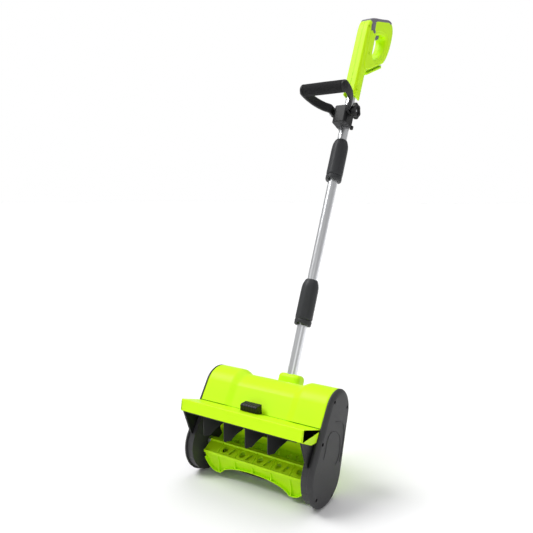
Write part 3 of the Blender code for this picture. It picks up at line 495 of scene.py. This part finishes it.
def rotorPiece():
    half = rotorSet["half"]
    x = half * np.sin(np.linspace(-math.pi / 2, math.pi / 2, rotorSet["columns"]))
    parts = []
    for sign in (1, -1):
        edge = bladeEdge(x)
        z = rotorSet["lip"][1] + (edge - rotorSet["lip"][1])[:, None] * np.linspace(0, 1, 22)[None]
        front = np.stack([np.broadcast_to(x[:, None], z.shape), bladeDepth(z), z], -1)
        back = front + np.array([0, rotorSet["wall"], 0])
        blade = np.concatenate([front, back[:, ::-1]], 1)
        parts.append(gridPiece("blade", onRotor(blade, sign)))
        # flange: a bead of four corners along the edge, reaching forwards from the face
        curve = np.stack([x, edge], -1)
        slope = np.gradient(curve, axis=0)
        normal = np.stack([-slope[:, 1], slope[:, 0]], -1) / np.linalg.norm(slope, axis=1)[:, None]
        near, far = bladeDepth(edge) + rotorSet["wall"], bladeDepth(edge) - 0.0058
        corners = []
        for deep, lift in ((near, 0.0), (far, 0.0003), (far - 0.0003, 0.0012), (far, 0.0021), (near, 0.0024)):
            spot = curve + normal * lift
            corners.append(np.stack([spot[:, 0], deep, spot[:, 1]], -1))
        parts.append(gridPiece("flange", onRotor(np.stack(corners, 1), sign)))
        # shelf from the hub to the lip, with a round hole and a slanted slot in each bay
        section = filleted([(-0.0349, -0.0112), (-0.0340, -0.0080), (-0.0060, 0.0088), (-0.0045, 0.0062)], 0.0004, 3)
        shelf = newObject("shelf", onRotor(alongX(layered(section, -half, half, 0.0006, 3)), sign),
                          quadFaces(6, len(section)).tolist() + [list(range(len(section)))[::-1],
                                                                 list(range(5 * len(section), 6 * len(section)))])
        tools = []
        bays = [(-0.0720, 1), (-0.0240, 1), (0.0240, 1), (0.0720, 1), (0.1150, 0)]
        a = np.linspace(0, 2 * math.pi, 28, endpoint=False)
        for k, (mid, slotted) in enumerate(bays):
            for shape in range(1 + slotted):
                if shape == 0:
                    u, v = mid - 0.0100 * slotted + rotorSet["holeRadius"] * np.cos(a), 0.0086 * np.sin(a)
                else:
                    corner = filleted([(-0.0080, -0.0095), (-0.0010, -0.0095), (0.0080, 0.0095), (0.0010, 0.0095)],
                                      0.0012, 4)
                    u, v = mid + 0.0105 + corner[:, 0], corner[:, 1]
                # the cutter stands square to the shelf, which rises at slope towards the hub
                slope = math.atan2(rotorSet["shelfRise"], rotorSet["shelfRun"])
                c, s = math.cos(slope), math.sin(slope)
                rows = np.stack([np.stack([u, rotorSet["holeCentre"] + v * c - h * s, v * s + h * c], -1)
                                 for h in (-0.009, 0.009)])
                tools.append(gridPiece(f"hole{k}_{shape}", onRotor(rows, sign)))
        parts.append(carved(shelf, *tools))
        # lip along the front of the shelf, and the spine along the hub
        for low, high in (((-0.0358, -0.0128), (-0.0332, -0.0062)), ((-0.0104, 0.0020), (-0.0080, 0.0106))):
            bar = filleted([(low[0], low[1]), (low[0], high[1]), (high[0], high[1]), (high[0], low[1])], 0.0008, 4)
            parts.append(gridPiece("bar", onRotor(alongX(layered(bar, -half, half, 0.0006, 3)), sign)))
        for finX in rotorSet["fins"]:
            low = float(bladeEdge(np.array([finX]))[0])
            down = np.linspace(-0.0128, low + 0.0006, 16)
            frontLine = np.stack([bladeDepth(down) - 0.0015 - 0.0042 * smoothStep((down + 0.0128) / (low + 0.0128)),
                                  down], -1)
            backLine = np.stack([bladeDepth(down[::-1]) + 0.0012, down[::-1]], -1)
            fin = np.vstack([[(-0.0082, 0.0100), (-0.0345, -0.0060), (-0.0355, -0.0070)], frontLine, backLine,
                             [(-0.0325, -0.0110), (-0.0060, 0.0050)]])
            parts.append(gridPiece("fin", onRotor(alongX(layered(fin, finX - 0.0012, finX + 0.0012, 0.0004, 3)), sign)))
    hub = turnedPiece("hub", rounded([(0, -half), (0.0108, -half), (0.0108, half), (0, half)], 0.001),
                      (0, *rotorSet["axis"]), onHead, "x", 48)
    made = joined("rotorScoops", hub, *parts)
    return finished(made, "rotor_unit", rotorLime, "rotor_plastic", "rotor", sharp=40)


visorSet = {"root": (-0.0068, 0.1646), "front": (-0.0790, 0.1885), "foot": (-0.0835, 0.1630), "half": 0.1582,
            "wall": 0.0026}


def visorPiece():
    # a bent sheet across the tool, eased at its crease, with a cheek at each end
    root, front, foot, wall = visorSet["root"], visorSet["front"], visorSet["foot"], visorSet["wall"]
    loop = filleted([root, front, foot, (foot[0] + wall, foot[1] - 0.0004), (front[0] + 0.0030, front[1] - 0.0040),
                     (root[0], root[1] - wall)], [0.0002, 0.0030, 0.0008, 0.0008, 0.0025, 0.0002], 6)
    sheet = gridPiece("visorSheet", onHead(alongX(layered(loop, -visorSet["half"], visorSet["half"], 0.0010, 4))))
    front0, _ = ovalAngles()
    lowEnd = circleArc(oval["low"], oval["lowRadius"], front0, front0, 1)[0]
    highEnd = circleArc(oval["high"], oval["highRadius"], front0, front0, 1)[0]
    edge = [tuple(lowEnd + share * (highEnd - lowEnd)) for share in (0.56, 0.40)]
    side = filleted([edge[0], (-0.0200, 0.1680), (-0.0480, 0.1772), front, foot, (-0.0500, 0.1465), edge[1]],
                    [0.002, 0.004, 0.004, 0.003, 0.002, 0.004, 0.002], 6)
    cheeks = [gridPiece(f"cheek{k}", onHead(alongX(layered(side, low, low + 0.003, 0.0003, 3))))
              for k, low in enumerate((-visorSet["half"], visorSet["half"] - 0.003))]
    made = joined("visorPiece", sheet, *cheeks)
    return finished(made, "tool", lime, "lime_plastic", "visor", sharp=40)


knobSet = {"centreX": -0.00908, "half": 0.0220, "ribs": 6}


def directionKnob():
    # the side outline drawn across, then low half-round ribs over its front and top
    side = filleted([(-0.0335, 0.1743), (-0.0335, 0.1855), (-0.0305, 0.1890), (-0.0125, 0.1890), (-0.0135, 0.1676)],
                    [0.0006, 0.0016, 0.0016, 0.0020, 0.0006], 6)
    low, high = knobSet["centreX"] - knobSet["half"], knobSet["centreX"] + knobSet["half"]
    parts = [gridPiece("knob", onHead(alongX(layered(side, low, high, 0.0018, 6))))]
    line = filleted([(-0.0341, 0.1752), (-0.0341, 0.1858), (-0.0307, 0.1896), (-0.0140, 0.1896), (-0.0140, 0.1880),
                     (-0.0300, 0.1880), (-0.0325, 0.1850), (-0.0325, 0.1752)], 0.0010, 4)
    for x in np.linspace(low + 0.0055, high - 0.0055, knobSet["ribs"]):
        parts.append(gridPiece("rib", onHead(alongX(layered(line, x - 0.0010, x + 0.0010, 0.0006, 4)))))
    made = joined("directionKnob", *parts)
    return finished(made, "direction_slider", linerBlack, "black_plastic", "slider_knob", sharp=40)


bossSet = {"halfWidth": 0.0290, "front": -0.0165, "rear": 0.0210, "down": -0.080}


def socketBoss():
    # a rounded rectangle carried up the shaft; it eases in over the top and widens towards the housing
    corner = spread(filleted([(-1, -1), (1, -1), (1, 1), (-1, 1)], 0.62, 12), 96)
    h = np.concatenate([np.linspace(bossSet["down"], -0.010, 10), -0.010 + 0.010 * np.sin(np.linspace(0.1, 1, 10)
                                                                                          * math.pi / 2)])
    shrink = np.concatenate([np.zeros(10), 0.008 * (1 - np.cos(np.linspace(0.1, 1, 10) * math.pi / 2))])
    middle, depth = (bossSet["front"] + bossSet["rear"]) / 2, (bossSet["rear"] - bossSet["front"]) / 2
    rows = [np.column_stack([corner[:, 0] * (bossSet["halfWidth"] - s), middle + corner[:, 1] * (depth - s),
                             np.full(len(corner), z)]) for s, z in zip(shrink, h)]
    boss = gridPiece("socketBoss", onShaft(np.array(rows)))
    bore = turnedPiece("bore", [(0, -0.012), (0.0126, -0.012), (0.0126, 0.02), (0, 0.02)], (0, 0, 0), onShaft)
    carved(boss, bore)
    return finished(boss, "tool", lime, "lime_plastic", "tube_socket", sharp=40)


for side in (-1, 1):
    endCover(side)
rotorPiece()
visorPiece()
directionKnob()
socketBoss()
print("head made")


# Shaft

shaftSet = {"tube": 0.0120, "ends": (-0.0455, 0.1745, 0.5515, 0.7930), "sleeve": 0.0215, "length": 0.115,
            "starts": (0.117, 0.494), "ring": 0.014}


def sleeveWave(angle, height):  # eight soft facets
    return 1 - 0.022 * np.abs(np.sin(4 * angle)) * np.ones_like(height)


def shaftPieces():
    r = shaftSet["tube"]
    for name, low, high in zip(("lower", "middle", "upper"), shaftSet["ends"], shaftSet["ends"][1:]):
        tube = turnedPiece(f"{name}Tube", [(0, low), (r, low), (r, high - 0.0003), (0, high - 0.0003)], (0, 0, 0),
                           onShaft, sides=72)
        finished(tube, "tool", alloy, "tube_alloy", f"{name}_tube")
    for name, start in zip(("lower", "upper"), shaftSet["starts"]):
        top, split, wide = start + shaftSet["length"], start + shaftSet["ring"], shaftSet["sleeve"]
        body = rounded([(0, top), (0.0138, top), (0.0162, top - 0.0030), (wide - 0.0008, top - 0.0150),
                        (wide, top - 0.0300), (wide, split + 0.0040), (wide - 0.0012, split + 0.0006),
                        (0, split + 0.0006)], [0, 0.001, 0.002, 0.006, 0.010, 0.002, 0.001, 0], 6)
        sleeve = turnedPiece(f"{name}Sleeve", body, (0, 0, 0), onShaft, sides=128, wave=sleeveWave)
        finished(sleeve, "tool", sleeveGrey, "sleeve_plastic", f"{name}_sleeve", sharp=32)
        collar = rounded([(0, split), (wide - 0.0010, split), (wide - 0.0002, split - 0.0030),
                          (wide - 0.0004, start + 0.0030), (wide - 0.0028, start), (0, start)],
                         [0, 0.0008, 0.001, 0.002, 0.0015, 0], 6)
        ring = turnedPiece(f"{name}LockRing", collar, (0, 0, 0), onShaft, sides=128, wave=sleeveWave)
        notches = []
        for k, low in enumerate((-0.032, 0.010)):
            slot = spread(filleted([(-0.0065, start - 0.012), (0.0065, start - 0.012), (0.0065, start + 0.0052),
                                    (-0.0065, start + 0.0052)], 0.0040, 8), 48)
            rows = np.stack([np.stack([slot[:, 0], np.full(48, y), slot[:, 1]], -1) for y in (low, low + 0.022)])
            notches.append(gridPiece(f"notch{k}", onShaft(rows)))
        carved(ring, *notches)
        finished(ring, f"{name}_lock", sleeveGrey, "sleeve_plastic", f"{name}_lock_ring", sharp=32)


shaftPieces()

clampSet = {"half": 0.0200, "span": (-0.033, 0.014), "bore": 0.0123}


def clampPieces():
    at = place["clampAt"]
    front = filleted([(-0.0200, -0.0004), (0.0200, -0.0004), (0.0200, -0.0340), (0.0150, -0.0390), (-0.0150, -0.0390),
                      (-0.0200, -0.0340)], [0.0004, 0.0004, 0.004, 0.005, 0.005, 0.004], 6)
    rear = filleted([(-0.0200, 0.0004), (-0.0200, 0.0120), (-0.0120, 0.0200), (0.0120, 0.0200), (0.0200, 0.0120),
                     (0.0200, 0.0004)], [0.0004, 0.004, 0.006, 0.006, 0.004, 0.0004], 6)
    low, high = (at + h for h in clampSet["span"])
    for name, loop in (("front", front), ("rear", rear)):
        body = gridPiece(f"clamp_{name}", onShaft(layered(loop, low, high, 0.0016, 5)))
        bore = turnedPiece("bore", [(0, low - 0.01), (clampSet["bore"], low - 0.01), (clampSet["bore"], high + 0.01),
                                    (0, high + 0.01)], (0, 0, 0), onShaft, sides=64)
        carved(body, bore)
        parts = [body]
        if name == "front":  # round bosses where the bail's arms bear
            for k, side in enumerate((-1, 1)):
                inner, outer = sorted((side * 0.0150, side * 0.0203))
                parts.append(turnedPiece(f"boss{k}", rounded([(0, inner), (0.0120, inner), (0.0120, outer),
                                                              (0, outer)], 0.0008), (0, 0, 0), onClamp, "x", 48))
        for k, side in enumerate((-1, 1)):  # lugs at the lower end, each with a screw's round boss
            y = -0.0080 if name == "front" else 0.0075
            parts.append(turnedPiece(f"lug{k}", rounded([(0, -0.0045), (0.0048, -0.0045), (0.0048, 0.0045),
                                                         (0, 0.0045)], 0.0012),
                                     (side * 0.0162, y, low + 0.0050), onShaft, "z", 32))
        made = joined(f"clampHalf_{name}", *parts)
        finished(made, "clamp", linerBlack, "black_plastic", f"clamp_{name}", sharp=35)
    wave = lambda angle, height: 1 + 0.075 * np.cos(6 * angle) * np.ones_like(height)
    inner, outer = clampSet["half"] + 0.0103, clampSet["half"] + 0.0230
    rim = rounded([(0, inner), (0.0150, inner), (0.0192, inner + 0.0030), (0.0196, outer - 0.0020), (0.0175, outer),
                   (0.0112, outer), (0.0104, outer - 0.0035), (0, outer - 0.0035)],
                  [0, 0.001, 0.002, 0.002, 0.0015, 0.0006, 0.0006, 0], 6)
    star = turnedPiece("starKnob", rim, (0, 0, 0), onClamp, "x", 120, wave)
    finished(star, "clamp_screw", linerBlack, "black_plastic", "clamp_knob", sharp=38)


bailSet = {"arm": ((0.0250, 0.0110), (0.0250, -0.0120), (0.0262, -0.0230), (0.0375, -0.0345), (0.0500, -0.0560),
                   (0.0578, -0.0820), (0.0603, -0.1040), (0.0590, -0.1140)),
           "width": 0.0085, "deep": 0.0112, "grip": (-0.108, 0.003), "foam": 0.0152, "foamHalf": 0.0545}


def bailPieces():
    # each arm: a rounded rectangle carried along its plan curve, deeper than wide, slimmer at the grip
    corner = spread(filleted([(-1, -1), (1, -1), (1, 1), (-1, 1)], 0.55, 10), 40)
    parts = []
    for k, side in enumerate((-1, 1)):
        line = smoothLine(np.array(bailSet["arm"]) * np.array([side, 1]), 70)
        along = np.gradient(line, axis=0)
        normal = np.stack([-along[:, 1], along[:, 0]], -1) / np.linalg.norm(along, axis=1)[:, None]
        t = np.linspace(0, 1, 70)[:, None]
        ends = np.sqrt(np.clip(np.minimum(t / 0.05, 1), 0.0, 1) * (2 - np.clip(np.minimum(t / 0.05, 1), 0.0, 1)))
        deep = bailSet["deep"] * (0.60 + 0.40 * ends) * (1 + 0.10 * t)
        lift = bailSet["grip"][1] * smoothStep((t - 0.3) / 0.6)
        across = corner[None, :, 0] * bailSet["width"] / 2
        grid = np.stack([line[:, :1] + normal[:, :1] * across, line[:, 1:] + normal[:, 1:] * across,
                         lift + corner[None, :, 1] * deep], -1)
        parts.append(gridPiece(f"arm{k}", onClamp(grid)))
        inner, outer = (bailSet["foamHalf"], 0.0632)
        cap = rounded([(0, inner), (0.0150, inner), (0.0152, outer - 0.0045), (0.0110, outer), (0, outer)],
                      [0, 0.0006, 0.004, 0.004, 0], 6)
        cap[:, 1] *= side
        parts.append(turnedPiece(f"cap{k}", cap, (0, *bailSet["grip"]), onClamp, "x", 48))
        hub = rounded([(0, 0.0207), (0.0118, 0.0207), (0.0118, 0.0293), (0, 0.0293)], [0, 0.001, 0.001, 0], 5)
        hub[:, 1] *= side
        parts.append(turnedPiece(f"hub{k}", hub, (0, 0, 0), onClamp, "x", 48))
    frameBar = joined("bailFrame", *parts)
    finished(frameBar, "bail", linerBlack, "black_plastic", "bail_frame", sharp=35)
    half, r = bailSet["foamHalf"], bailSet["foam"]
    profile = rounded([(0, -half + 0.0003), (r - 0.0003, -half + 0.0003), (r, 0.0), (r - 0.0003, half - 0.0003),
                       (0, half - 0.0003)], [0, 0.0024, 0.02, 0.0024, 0], 10)
    foam = turnedPiece("foamGrip", profile, (0, *bailSet["grip"]), onClamp, "x", 72)
    finished(foam, "bail", foamBlack, "foam", "bail_grip", sharp=50)


clampPieces()
bailPieces()
print("shaft made")


# Main handle

handleSet = {
    "half": 0.0178, "edge": 0.0080,
    "line": ((-0.0175, 0.7330), (-0.0150, 0.9380), (-0.0120, 0.9580), (-0.0040, 0.9730), (0.0120, 0.9860),
             (0.0540, 1.0130), (0.0920, 1.0390), (0.1080, 1.0440), (0.1230, 1.0380), (0.1310, 1.0230),
             (0.1330, 1.0000), (0.1310, 0.9650), (0.1220, 0.9310), (0.1110, 0.9090), (0.0980, 0.8960),
             (0.0200, 0.8230), (0.0190, 0.7330)),
    "fingers": ((0.0360, 0.8880), (0.0350, 0.9400), (0.0400, 0.9520), (0.0560, 0.9640), (0.0860, 0.9790),
                (0.0950, 0.9770), (0.0980, 0.9660), (0.0960, 0.9450), (0.0860, 0.9200), (0.0560, 0.8830),
                (0.0440, 0.8800)),
    "panel": ((-0.0020, 0.9300), (-0.0010, 0.8330), (0.0140, 0.8255), (0.0430, 0.8480), (0.0900, 0.8925),
              (0.1060, 0.9090), (0.1160, 0.9330), (0.1245, 0.9660), (0.1265, 1.0000), (0.1245, 1.0200),
              (0.1180, 1.0330), (0.1075, 1.0370), (0.0930, 1.0320), (0.0560, 1.0070), (0.0200, 0.9830),
              (0.0080, 0.9620)),
    "screws": ((-0.0095, 0.9440), (0.0980, 1.0300), (0.0133, 0.8770), (0.1135, 0.9400), (0.0600, 0.8560),
               (-0.0090, 0.7520)),
}


def holedPiece(name, outerRows, innerRows, toRow):
    # two stacks of outlines, one inside the other, with both end faces filled between them
    verts, faces, loops = [], [], []
    for rows in (outerRows, innerRows):
        first, count = sum(len(v) for v in verts), rows.shape[1]
        faces += (quadFaces(rows.shape[0], count) + first).tolist()
        verts.append(rows.reshape(-1, 3))
        loops += [(first, count), (first + (rows.shape[0] - 1) * count, count)]
    mesh = bpy.data.meshes.new(name)
    mesh.from_pydata(toRow(alongX(np.vstack(verts))).tolist(), [], faces)
    work = bmesh.new()
    work.from_mesh(mesh)
    work.verts.ensure_lookup_table()
    for pair in ((loops[0], loops[2]), (loops[1], loops[3])):
        rim = []
        for first, count in pair:
            rim += [work.edges.get((work.verts[first + k], work.verts[first + (k + 1) % count]))
                    for k in range(count)]
        bmesh.ops.triangle_fill(work, edges=rim, use_beauty=True)
    bmesh.ops.recalc_face_normals(work, faces=work.faces)
    if work.calc_volume(signed=True) < 0:
        bmesh.ops.reverse_faces(work, faces=work.faces)
    work.to_mesh(mesh)
    work.free()
    made = bpy.data.objects.new(name, mesh)
    bpy.context.scene.collection.objects.link(made)
    return made


def halfLayers(loop, seam, high, edge, squeeze=0.8, outwards=False):
    # a small ease at the seam, straight, then the big rounded outer edge
    turn = np.linspace(math.pi / 2, 0, 9)
    rise, pull = edge * squeeze * (1 - np.cos(turn)), edge * (1 - np.sin(turn))
    heights = np.concatenate([[seam, seam + 0.0005], high - rise])
    pulls = np.concatenate([[0.0005, 0.0], pull]) * (-1 if outwards else 1)
    return np.array([np.column_stack([inset(loop, d), np.full(len(loop), h)]) for d, h in zip(pulls, heights)])


def handlePieces():
    outline = spread(filleted(handleSet["line"], [0.004, 0.02, 0.02, 0.02, 0.02, 0.02, 0.012, 0.010, 0.010, 0.010,
                                                  0.015, 0.02, 0.012, 0.010, 0.012, 0.010, 0.004], 8), 420)
    fingers = spread(filleted(handleSet["fingers"], 0.008, 8), 220)
    panel = spread(filleted(handleSet["panel"], 0.008, 8), 320)
    for side, name in ((-1, "left"), (1, "right")):
        flip = np.array([1, 1, side])
        outer = halfLayers(outline, 0.0001, handleSet["half"], handleSet["edge"]) * flip
        inner = halfLayers(fingers, 0.0001, handleSet["half"], 0.0070, outwards=True) * flip
        body = holedPiece(f"handle_{name}", outer, inner, onShaft)
        notch = [(-0.0135, 0.7200), *[(0.0135 * math.cos(a), 0.7390 + 0.0135 * math.sin(a))
                                      for a in np.linspace(math.pi, 0, 12)], (0.0135, 0.7200)]
        rows = np.stack([np.stack([np.array(notch)[:, 0], np.full(14, y), np.array(notch)[:, 1]], -1)
                         for y in (-0.05, 0.05)])
        mouth = filleted([(0.0430, 0.9480), (0.0745, 0.9650), (0.0660, 0.9830), (0.0350, 0.9670)], 0.001, 3)
        mouthRows = np.stack([np.column_stack([mouth, np.full(len(mouth), h)]) for h in (-0.0076, 0.0076)])
        pits = [turnedPiece(f"pit{k}", [(0, -0.0060), (0.0030, -0.0060), (0.0030, 0.006), (0, 0.006)],
                            (side * handleSet["half"], *spot), onShaft, "x", 20)
                for k, spot in enumerate(handleSet["screws"])]
        carved(body, gridPiece("notch", onShaft(rows)), gridPiece("mouth", onShaft(alongX(mouthRows))), *pits)
        rim = [(0.0, -0.0003), (0.0009, 0.0004), (0.0016, 0.0011), (0.0030, 0.0013)]
        plate = np.array([np.column_stack([inset(panel, d), np.full(len(panel), handleSet["half"] + h)])
                          for d, h in rim]) * flip
        hole = np.array([np.column_stack([inset(fingers, -0.0080 - d), np.full(len(fingers), handleSet["half"] + h)])
                         for d, h in rim]) * flip
        raised = holedPiece(f"loopPanel_{name}", plate, hole, onShaft)
        keepers = [turnedPiece(f"pit{k}", [(0, -0.0060), (0.0030, -0.0060), (0.0030, 0.006), (0, 0.006)],
                               (side * handleSet["half"], *spot), onShaft, "x", 20)
                   for k, spot in enumerate(handleSet["screws"])]
        carved(raised, *keepers)
        made = joined(f"handleHalf_{name}", body, raised)
        finished(made, "tool", lime, "lime_plastic", f"handle_{name}", sharp=42)
        heads = [turnedPiece(f"head{k}", [(0, -0.0052), (0.0027, -0.0052), (0.0027, -0.0040), (0.0010, -0.0037),
                                          (0.0008, -0.0046), (0, -0.0046)] if side > 0 else
                             [(0, 0.0052), (0.0027, 0.0052), (0.0027, 0.0040), (0.0010, 0.0037), (0.0008, 0.0046),
                              (0, 0.0046)], (side * handleSet["half"], *spot), onShaft, "x", 16)
                 for k, spot in enumerate(handleSet["screws"])]
        finished(joined(f"handleScrews_{name}", *heads), "tool", steelDark, "zinc_steel")


def gripCover():
    # a soft shell over the top of the grip: the handle's own section a little larger, cut to the grip's top
    outline = spread(filleted(handleSet["line"], [0.004, 0.02, 0.02, 0.02, 0.02, 0.02, 0.012, 0.010, 0.010, 0.010,
                                                  0.015, 0.02, 0.012, 0.010, 0.012, 0.010, 0.004], 8), 900)
    y, z = outline[:, 0], outline[:, 1]
    top = (z > 0.9660) & (y < 0.1120) & (z > 0.960 + 0.0)
    run = outline[top]
    run = run[np.argsort(run[:, 0])]
    line = np.stack([np.linspace(run[0, 0], run[-1, 0], 120),
                     np.interp(np.linspace(run[0, 0], run[-1, 0], 120), run[:, 0], run[:, 1])], -1)
    along = np.gradient(line, axis=0)
    normal = np.stack([-along[:, 1], along[:, 0]], -1) / np.linalg.norm(along, axis=1)[:, None]
    # across: over the top from one side to the other on the rounded edge's own curve
    half, edge = handleSet["half"], handleSet["edge"]
    turn = np.linspace(0, math.pi / 2, 9)
    x = np.concatenate([[-half], -half + edge * 0.8 * (1 - np.cos(turn)),
                        half - edge * 0.8 * (1 - np.cos(turn[::-1])), [half]])
    drop = np.concatenate([[edge + 0.004], edge * (1 - np.sin(turn)),
                           edge * (1 - np.sin(turn[::-1])), [edge + 0.004]])
    t = np.linspace(0, 1, 120)[:, None]
    over = 0.0011 * np.minimum(1, np.sin(t * math.pi) * 9)
    outerX = x[None] * (1 + over / half)
    depth = -drop[None] + over
    grid = np.stack([outerX, line[:, :1] + normal[:, :1] * depth, line[:, 1:] + normal[:, 1:] * depth], -1)
    under = np.stack([x[None] * (1 - 0.0012 / half) * np.ones_like(t),
                      line[:, :1] + normal[:, :1] * (-drop[None] - 0.0012),
                      line[:, 1:] + normal[:, 1:] * (-drop[None] - 0.0012)], -1)
    shell = gridPiece("cover", onShaft(np.concatenate([grid, under[:, ::-1]], 1)))
    tabs = []
    for k, side in enumerate((-1, 1)):
        tab = filleted([(0.0060, 0.9700), (0.0170, 0.9735), (0.0185, 0.9510), (0.0010, 0.9380), (-0.0030, 0.9560)],
                       0.002, 5)
        rows = layered(tab, handleSet["half"] - 0.001, handleSet["half"] + 0.0021, 0.0012, 4) * np.array([1, 1, side])
        tabs.append(gridPiece(f"tab{k}", onShaft(alongX(rows))))
    made = joined("gripCover", shell, *tabs)
    finished(made, "tool", softGrey, "soft_grey_plastic", "grip_overmould", sharp=40)


def batteryRail():
    start, end = np.array((0.0240, 0.8267)), np.array((0.0960, 0.8941))
    along = (end - start) / np.linalg.norm(end - start)
    out = np.array((along[1], -along[0]))
    span = np.linalg.norm(end - start)
    spot = lambda u, v: tuple(start + along * u + out * v)
    block = filleted([spot(-0.002, 0.0003), spot(span, 0.0003), spot(span, 0.0086), spot(-0.002, 0.0086)],
                     [0.0004, 0.0004, 0.0022, 0.0022], 6)
    body = gridPiece("rail", onShaft(alongX(layered(block, -0.0172, 0.0172, 0.0014, 5))))
    tools = []
    for side in (-1, 1):
        groove = np.array([spot(-0.01, 0.0018), spot(span - 0.006, 0.0018), spot(span - 0.006, 0.0040),
                           spot(-0.01, 0.0040)])
        rows = np.stack([np.column_stack([groove, np.full(4, h)]) for h in (side * 0.0130, side * 0.03)])
        tools.append(gridPiece(f"groove{side}", onShaft(alongX(rows))))
    carved(body, *tools)
    finished(body, "tool", lime, "lime_plastic", "battery_mount", sharp=35)


handlePieces()
gripCover()
batteryRail()
print("handle made")


# Carried-over parts keep their shape and take a finish

finishes = {
    "limePlastic": (lime, "lime_plastic", ["visor", "tube_socket", "handle_left", "handle_right", "battery_mount"]),
    "rotorPlastic": (rotorLime, "rotor_plastic", ["rotor"]),
    "coverPlastic": (coverGrey, "cover_plastic", ["end_cover_left", "end_cover_right", "side_frame_left",
                                                  "side_frame_right", "scraper_bar"]),
    "blackPlastic": (linerBlack, "black_plastic", ["hood_liner", "hood_wing_left", "hood_wing_right", "vane_1",
                     "vane_2", "vane_3", "vane_4", "vane_link_bar", "slider_knob", "clamp_front", "clamp_rear",
                     "clamp_knob", "bail_frame", "trigger_switch"]),
    "sleevePlastic": (sleeveGrey, "sleeve_plastic", ["lower_sleeve", "upper_sleeve", "lower_lock_ring",
                                                     "upper_lock_ring"]),
    "softGreyPlastic": (softGrey, "soft_grey_plastic", ["trigger", "lock_button", "grip_overmould"]),
    "foam": (foamBlack, "foam", ["bail_grip"]),
    "rubber": (rubberBlack, "rubber", ["drive_belt", "power_cable"]),
    "tubeAlloy": (alloy, "tube_alloy", ["lower_tube", "middle_tube", "upper_tube"]),
    "zincSteel": (steel, "zinc_steel", ["rotor_shaft", "drive_pulley", "motor_shaft", "rotor_bearing_left",
                                        "rotor_bearing_right", "clamp_bolt", "trigger_spring"]),
    "motorPaint": (motorPaint, "motor_paint", ["motor_body"]),
    "pulleyAlloy": (pulleyAlloy, "pulley_alloy", ["rotor_pulley"]),
}
for finish, slot, nodes in finishes.values():
    for name in nodes:
        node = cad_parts[name]
        node.data.materials.clear()
        node.data.materials.append(finish)
print("carried-over parts finished")


# Studio

studio = {"floorHalf": 60.0, "light": 0.42, "seen": 1.0,
          "suns": (("keySun", (1.25, 0.75, -2.0), 2.0, 30), ("topSun", (0.1, -0.9, -2.2), 0.8, 50)),
          "fill": ((1.5, -2.4, 1.2), (0, -0.1, 0.4), 1.6, 5)}
cameraSet = {"spot": (0.708, -0.986, 0.6305), "tilt": 83.65, "turn": 33.68, "lens": 38.84, "sensor": 36,
             "shift": (-0.0253, -0.0084)}


def studioFloor():
    corners = studio["floorHalf"] * np.array([[[-1, -1, 0], [1, -1, 0]], [[-1, 1, 0], [1, 1, 0]]], float)
    floor = gridPiece("studioFloor", corners, wrapColumns=False, caps=False)
    if floor.data.polygons[0].normal.z < 0:
        floor.data.flip_normals()
    paper = bpy.data.materials.new("studioPaper")
    paper.use_nodes = True
    shader = paper.node_tree.nodes["Principled BSDF"]
    shader.inputs["Base Color"].default_value = (0.94, 0.94, 0.945, 1)
    shader.inputs["Roughness"].default_value = 0.9
    shader.inputs["Specular IOR Level"].default_value = 0.1
    floor.data.materials.append(paper)


def sunLight(name, towards, power, spreadAngle):
    data = bpy.data.lights.new(name, "SUN")
    data.energy, data.angle = power, math.radians(spreadAngle)
    lamp = bpy.data.objects.new(name, data)
    bpy.context.scene.collection.objects.link(lamp)
    lamp.rotation_euler = Vector(towards).to_track_quat("-Z", "Y").to_euler()


def areaLight(name, spot, aim, size, power):
    data = bpy.data.lights.new(name, "AREA")
    data.shape = "DISK"
    data.size, data.energy = size, power
    lamp = bpy.data.objects.new(name, data)
    bpy.context.scene.collection.objects.link(lamp)
    lamp.location = spot
    lamp.rotation_euler = (Vector(aim) - Vector(spot)).to_track_quat("-Z", "Y").to_euler()


studioFloor()
for sun in studio["suns"]:
    sunLight(*sun)
areaLight("fillLight", *studio["fill"])
world = bpy.data.worlds.new("studioWorld")
bpy.context.scene.world = world
world.use_nodes = True
sky = world.node_tree
background, out = sky.nodes["Background"], sky.nodes["World Output"]
background.inputs["Strength"].default_value = studio["light"]
backdrop = addNode(sky, "ShaderNodeBackground", Strength=studio["seen"])
background.inputs["Color"].default_value = backdrop.inputs["Color"].default_value = (1, 1, 1, 1)
choose, seen = addNode(sky, "ShaderNodeMixShader"), addNode(sky, "ShaderNodeLightPath")
sky.links.new(seen.outputs["Is Camera Ray"], choose.inputs["Fac"])
sky.links.new(background.outputs[0], choose.inputs[1])
sky.links.new(backdrop.outputs[0], choose.inputs[2])
sky.links.new(choose.outputs[0], out.inputs["Surface"])
bpy.context.scene.view_settings.view_transform = "Standard"

cameraData = bpy.data.cameras.new("camera")
camera = bpy.data.objects.new("camera", cameraData)
bpy.context.scene.collection.objects.link(camera)
spotX, spotY, spotZ = cameraSet["spot"]  # y is from the head
camera.location = (spotX, spotY + place["headY"], spotZ)
camera.rotation_euler = (math.radians(cameraSet["tilt"]), 0, math.radians(cameraSet["turn"]))
cameraData.lens, cameraData.sensor_width = cameraSet["lens"], cameraSet["sensor"]
cameraData.shift_x, cameraData.shift_y = cameraSet["shift"]
bpy.context.scene.camera = camera
print("studio set")
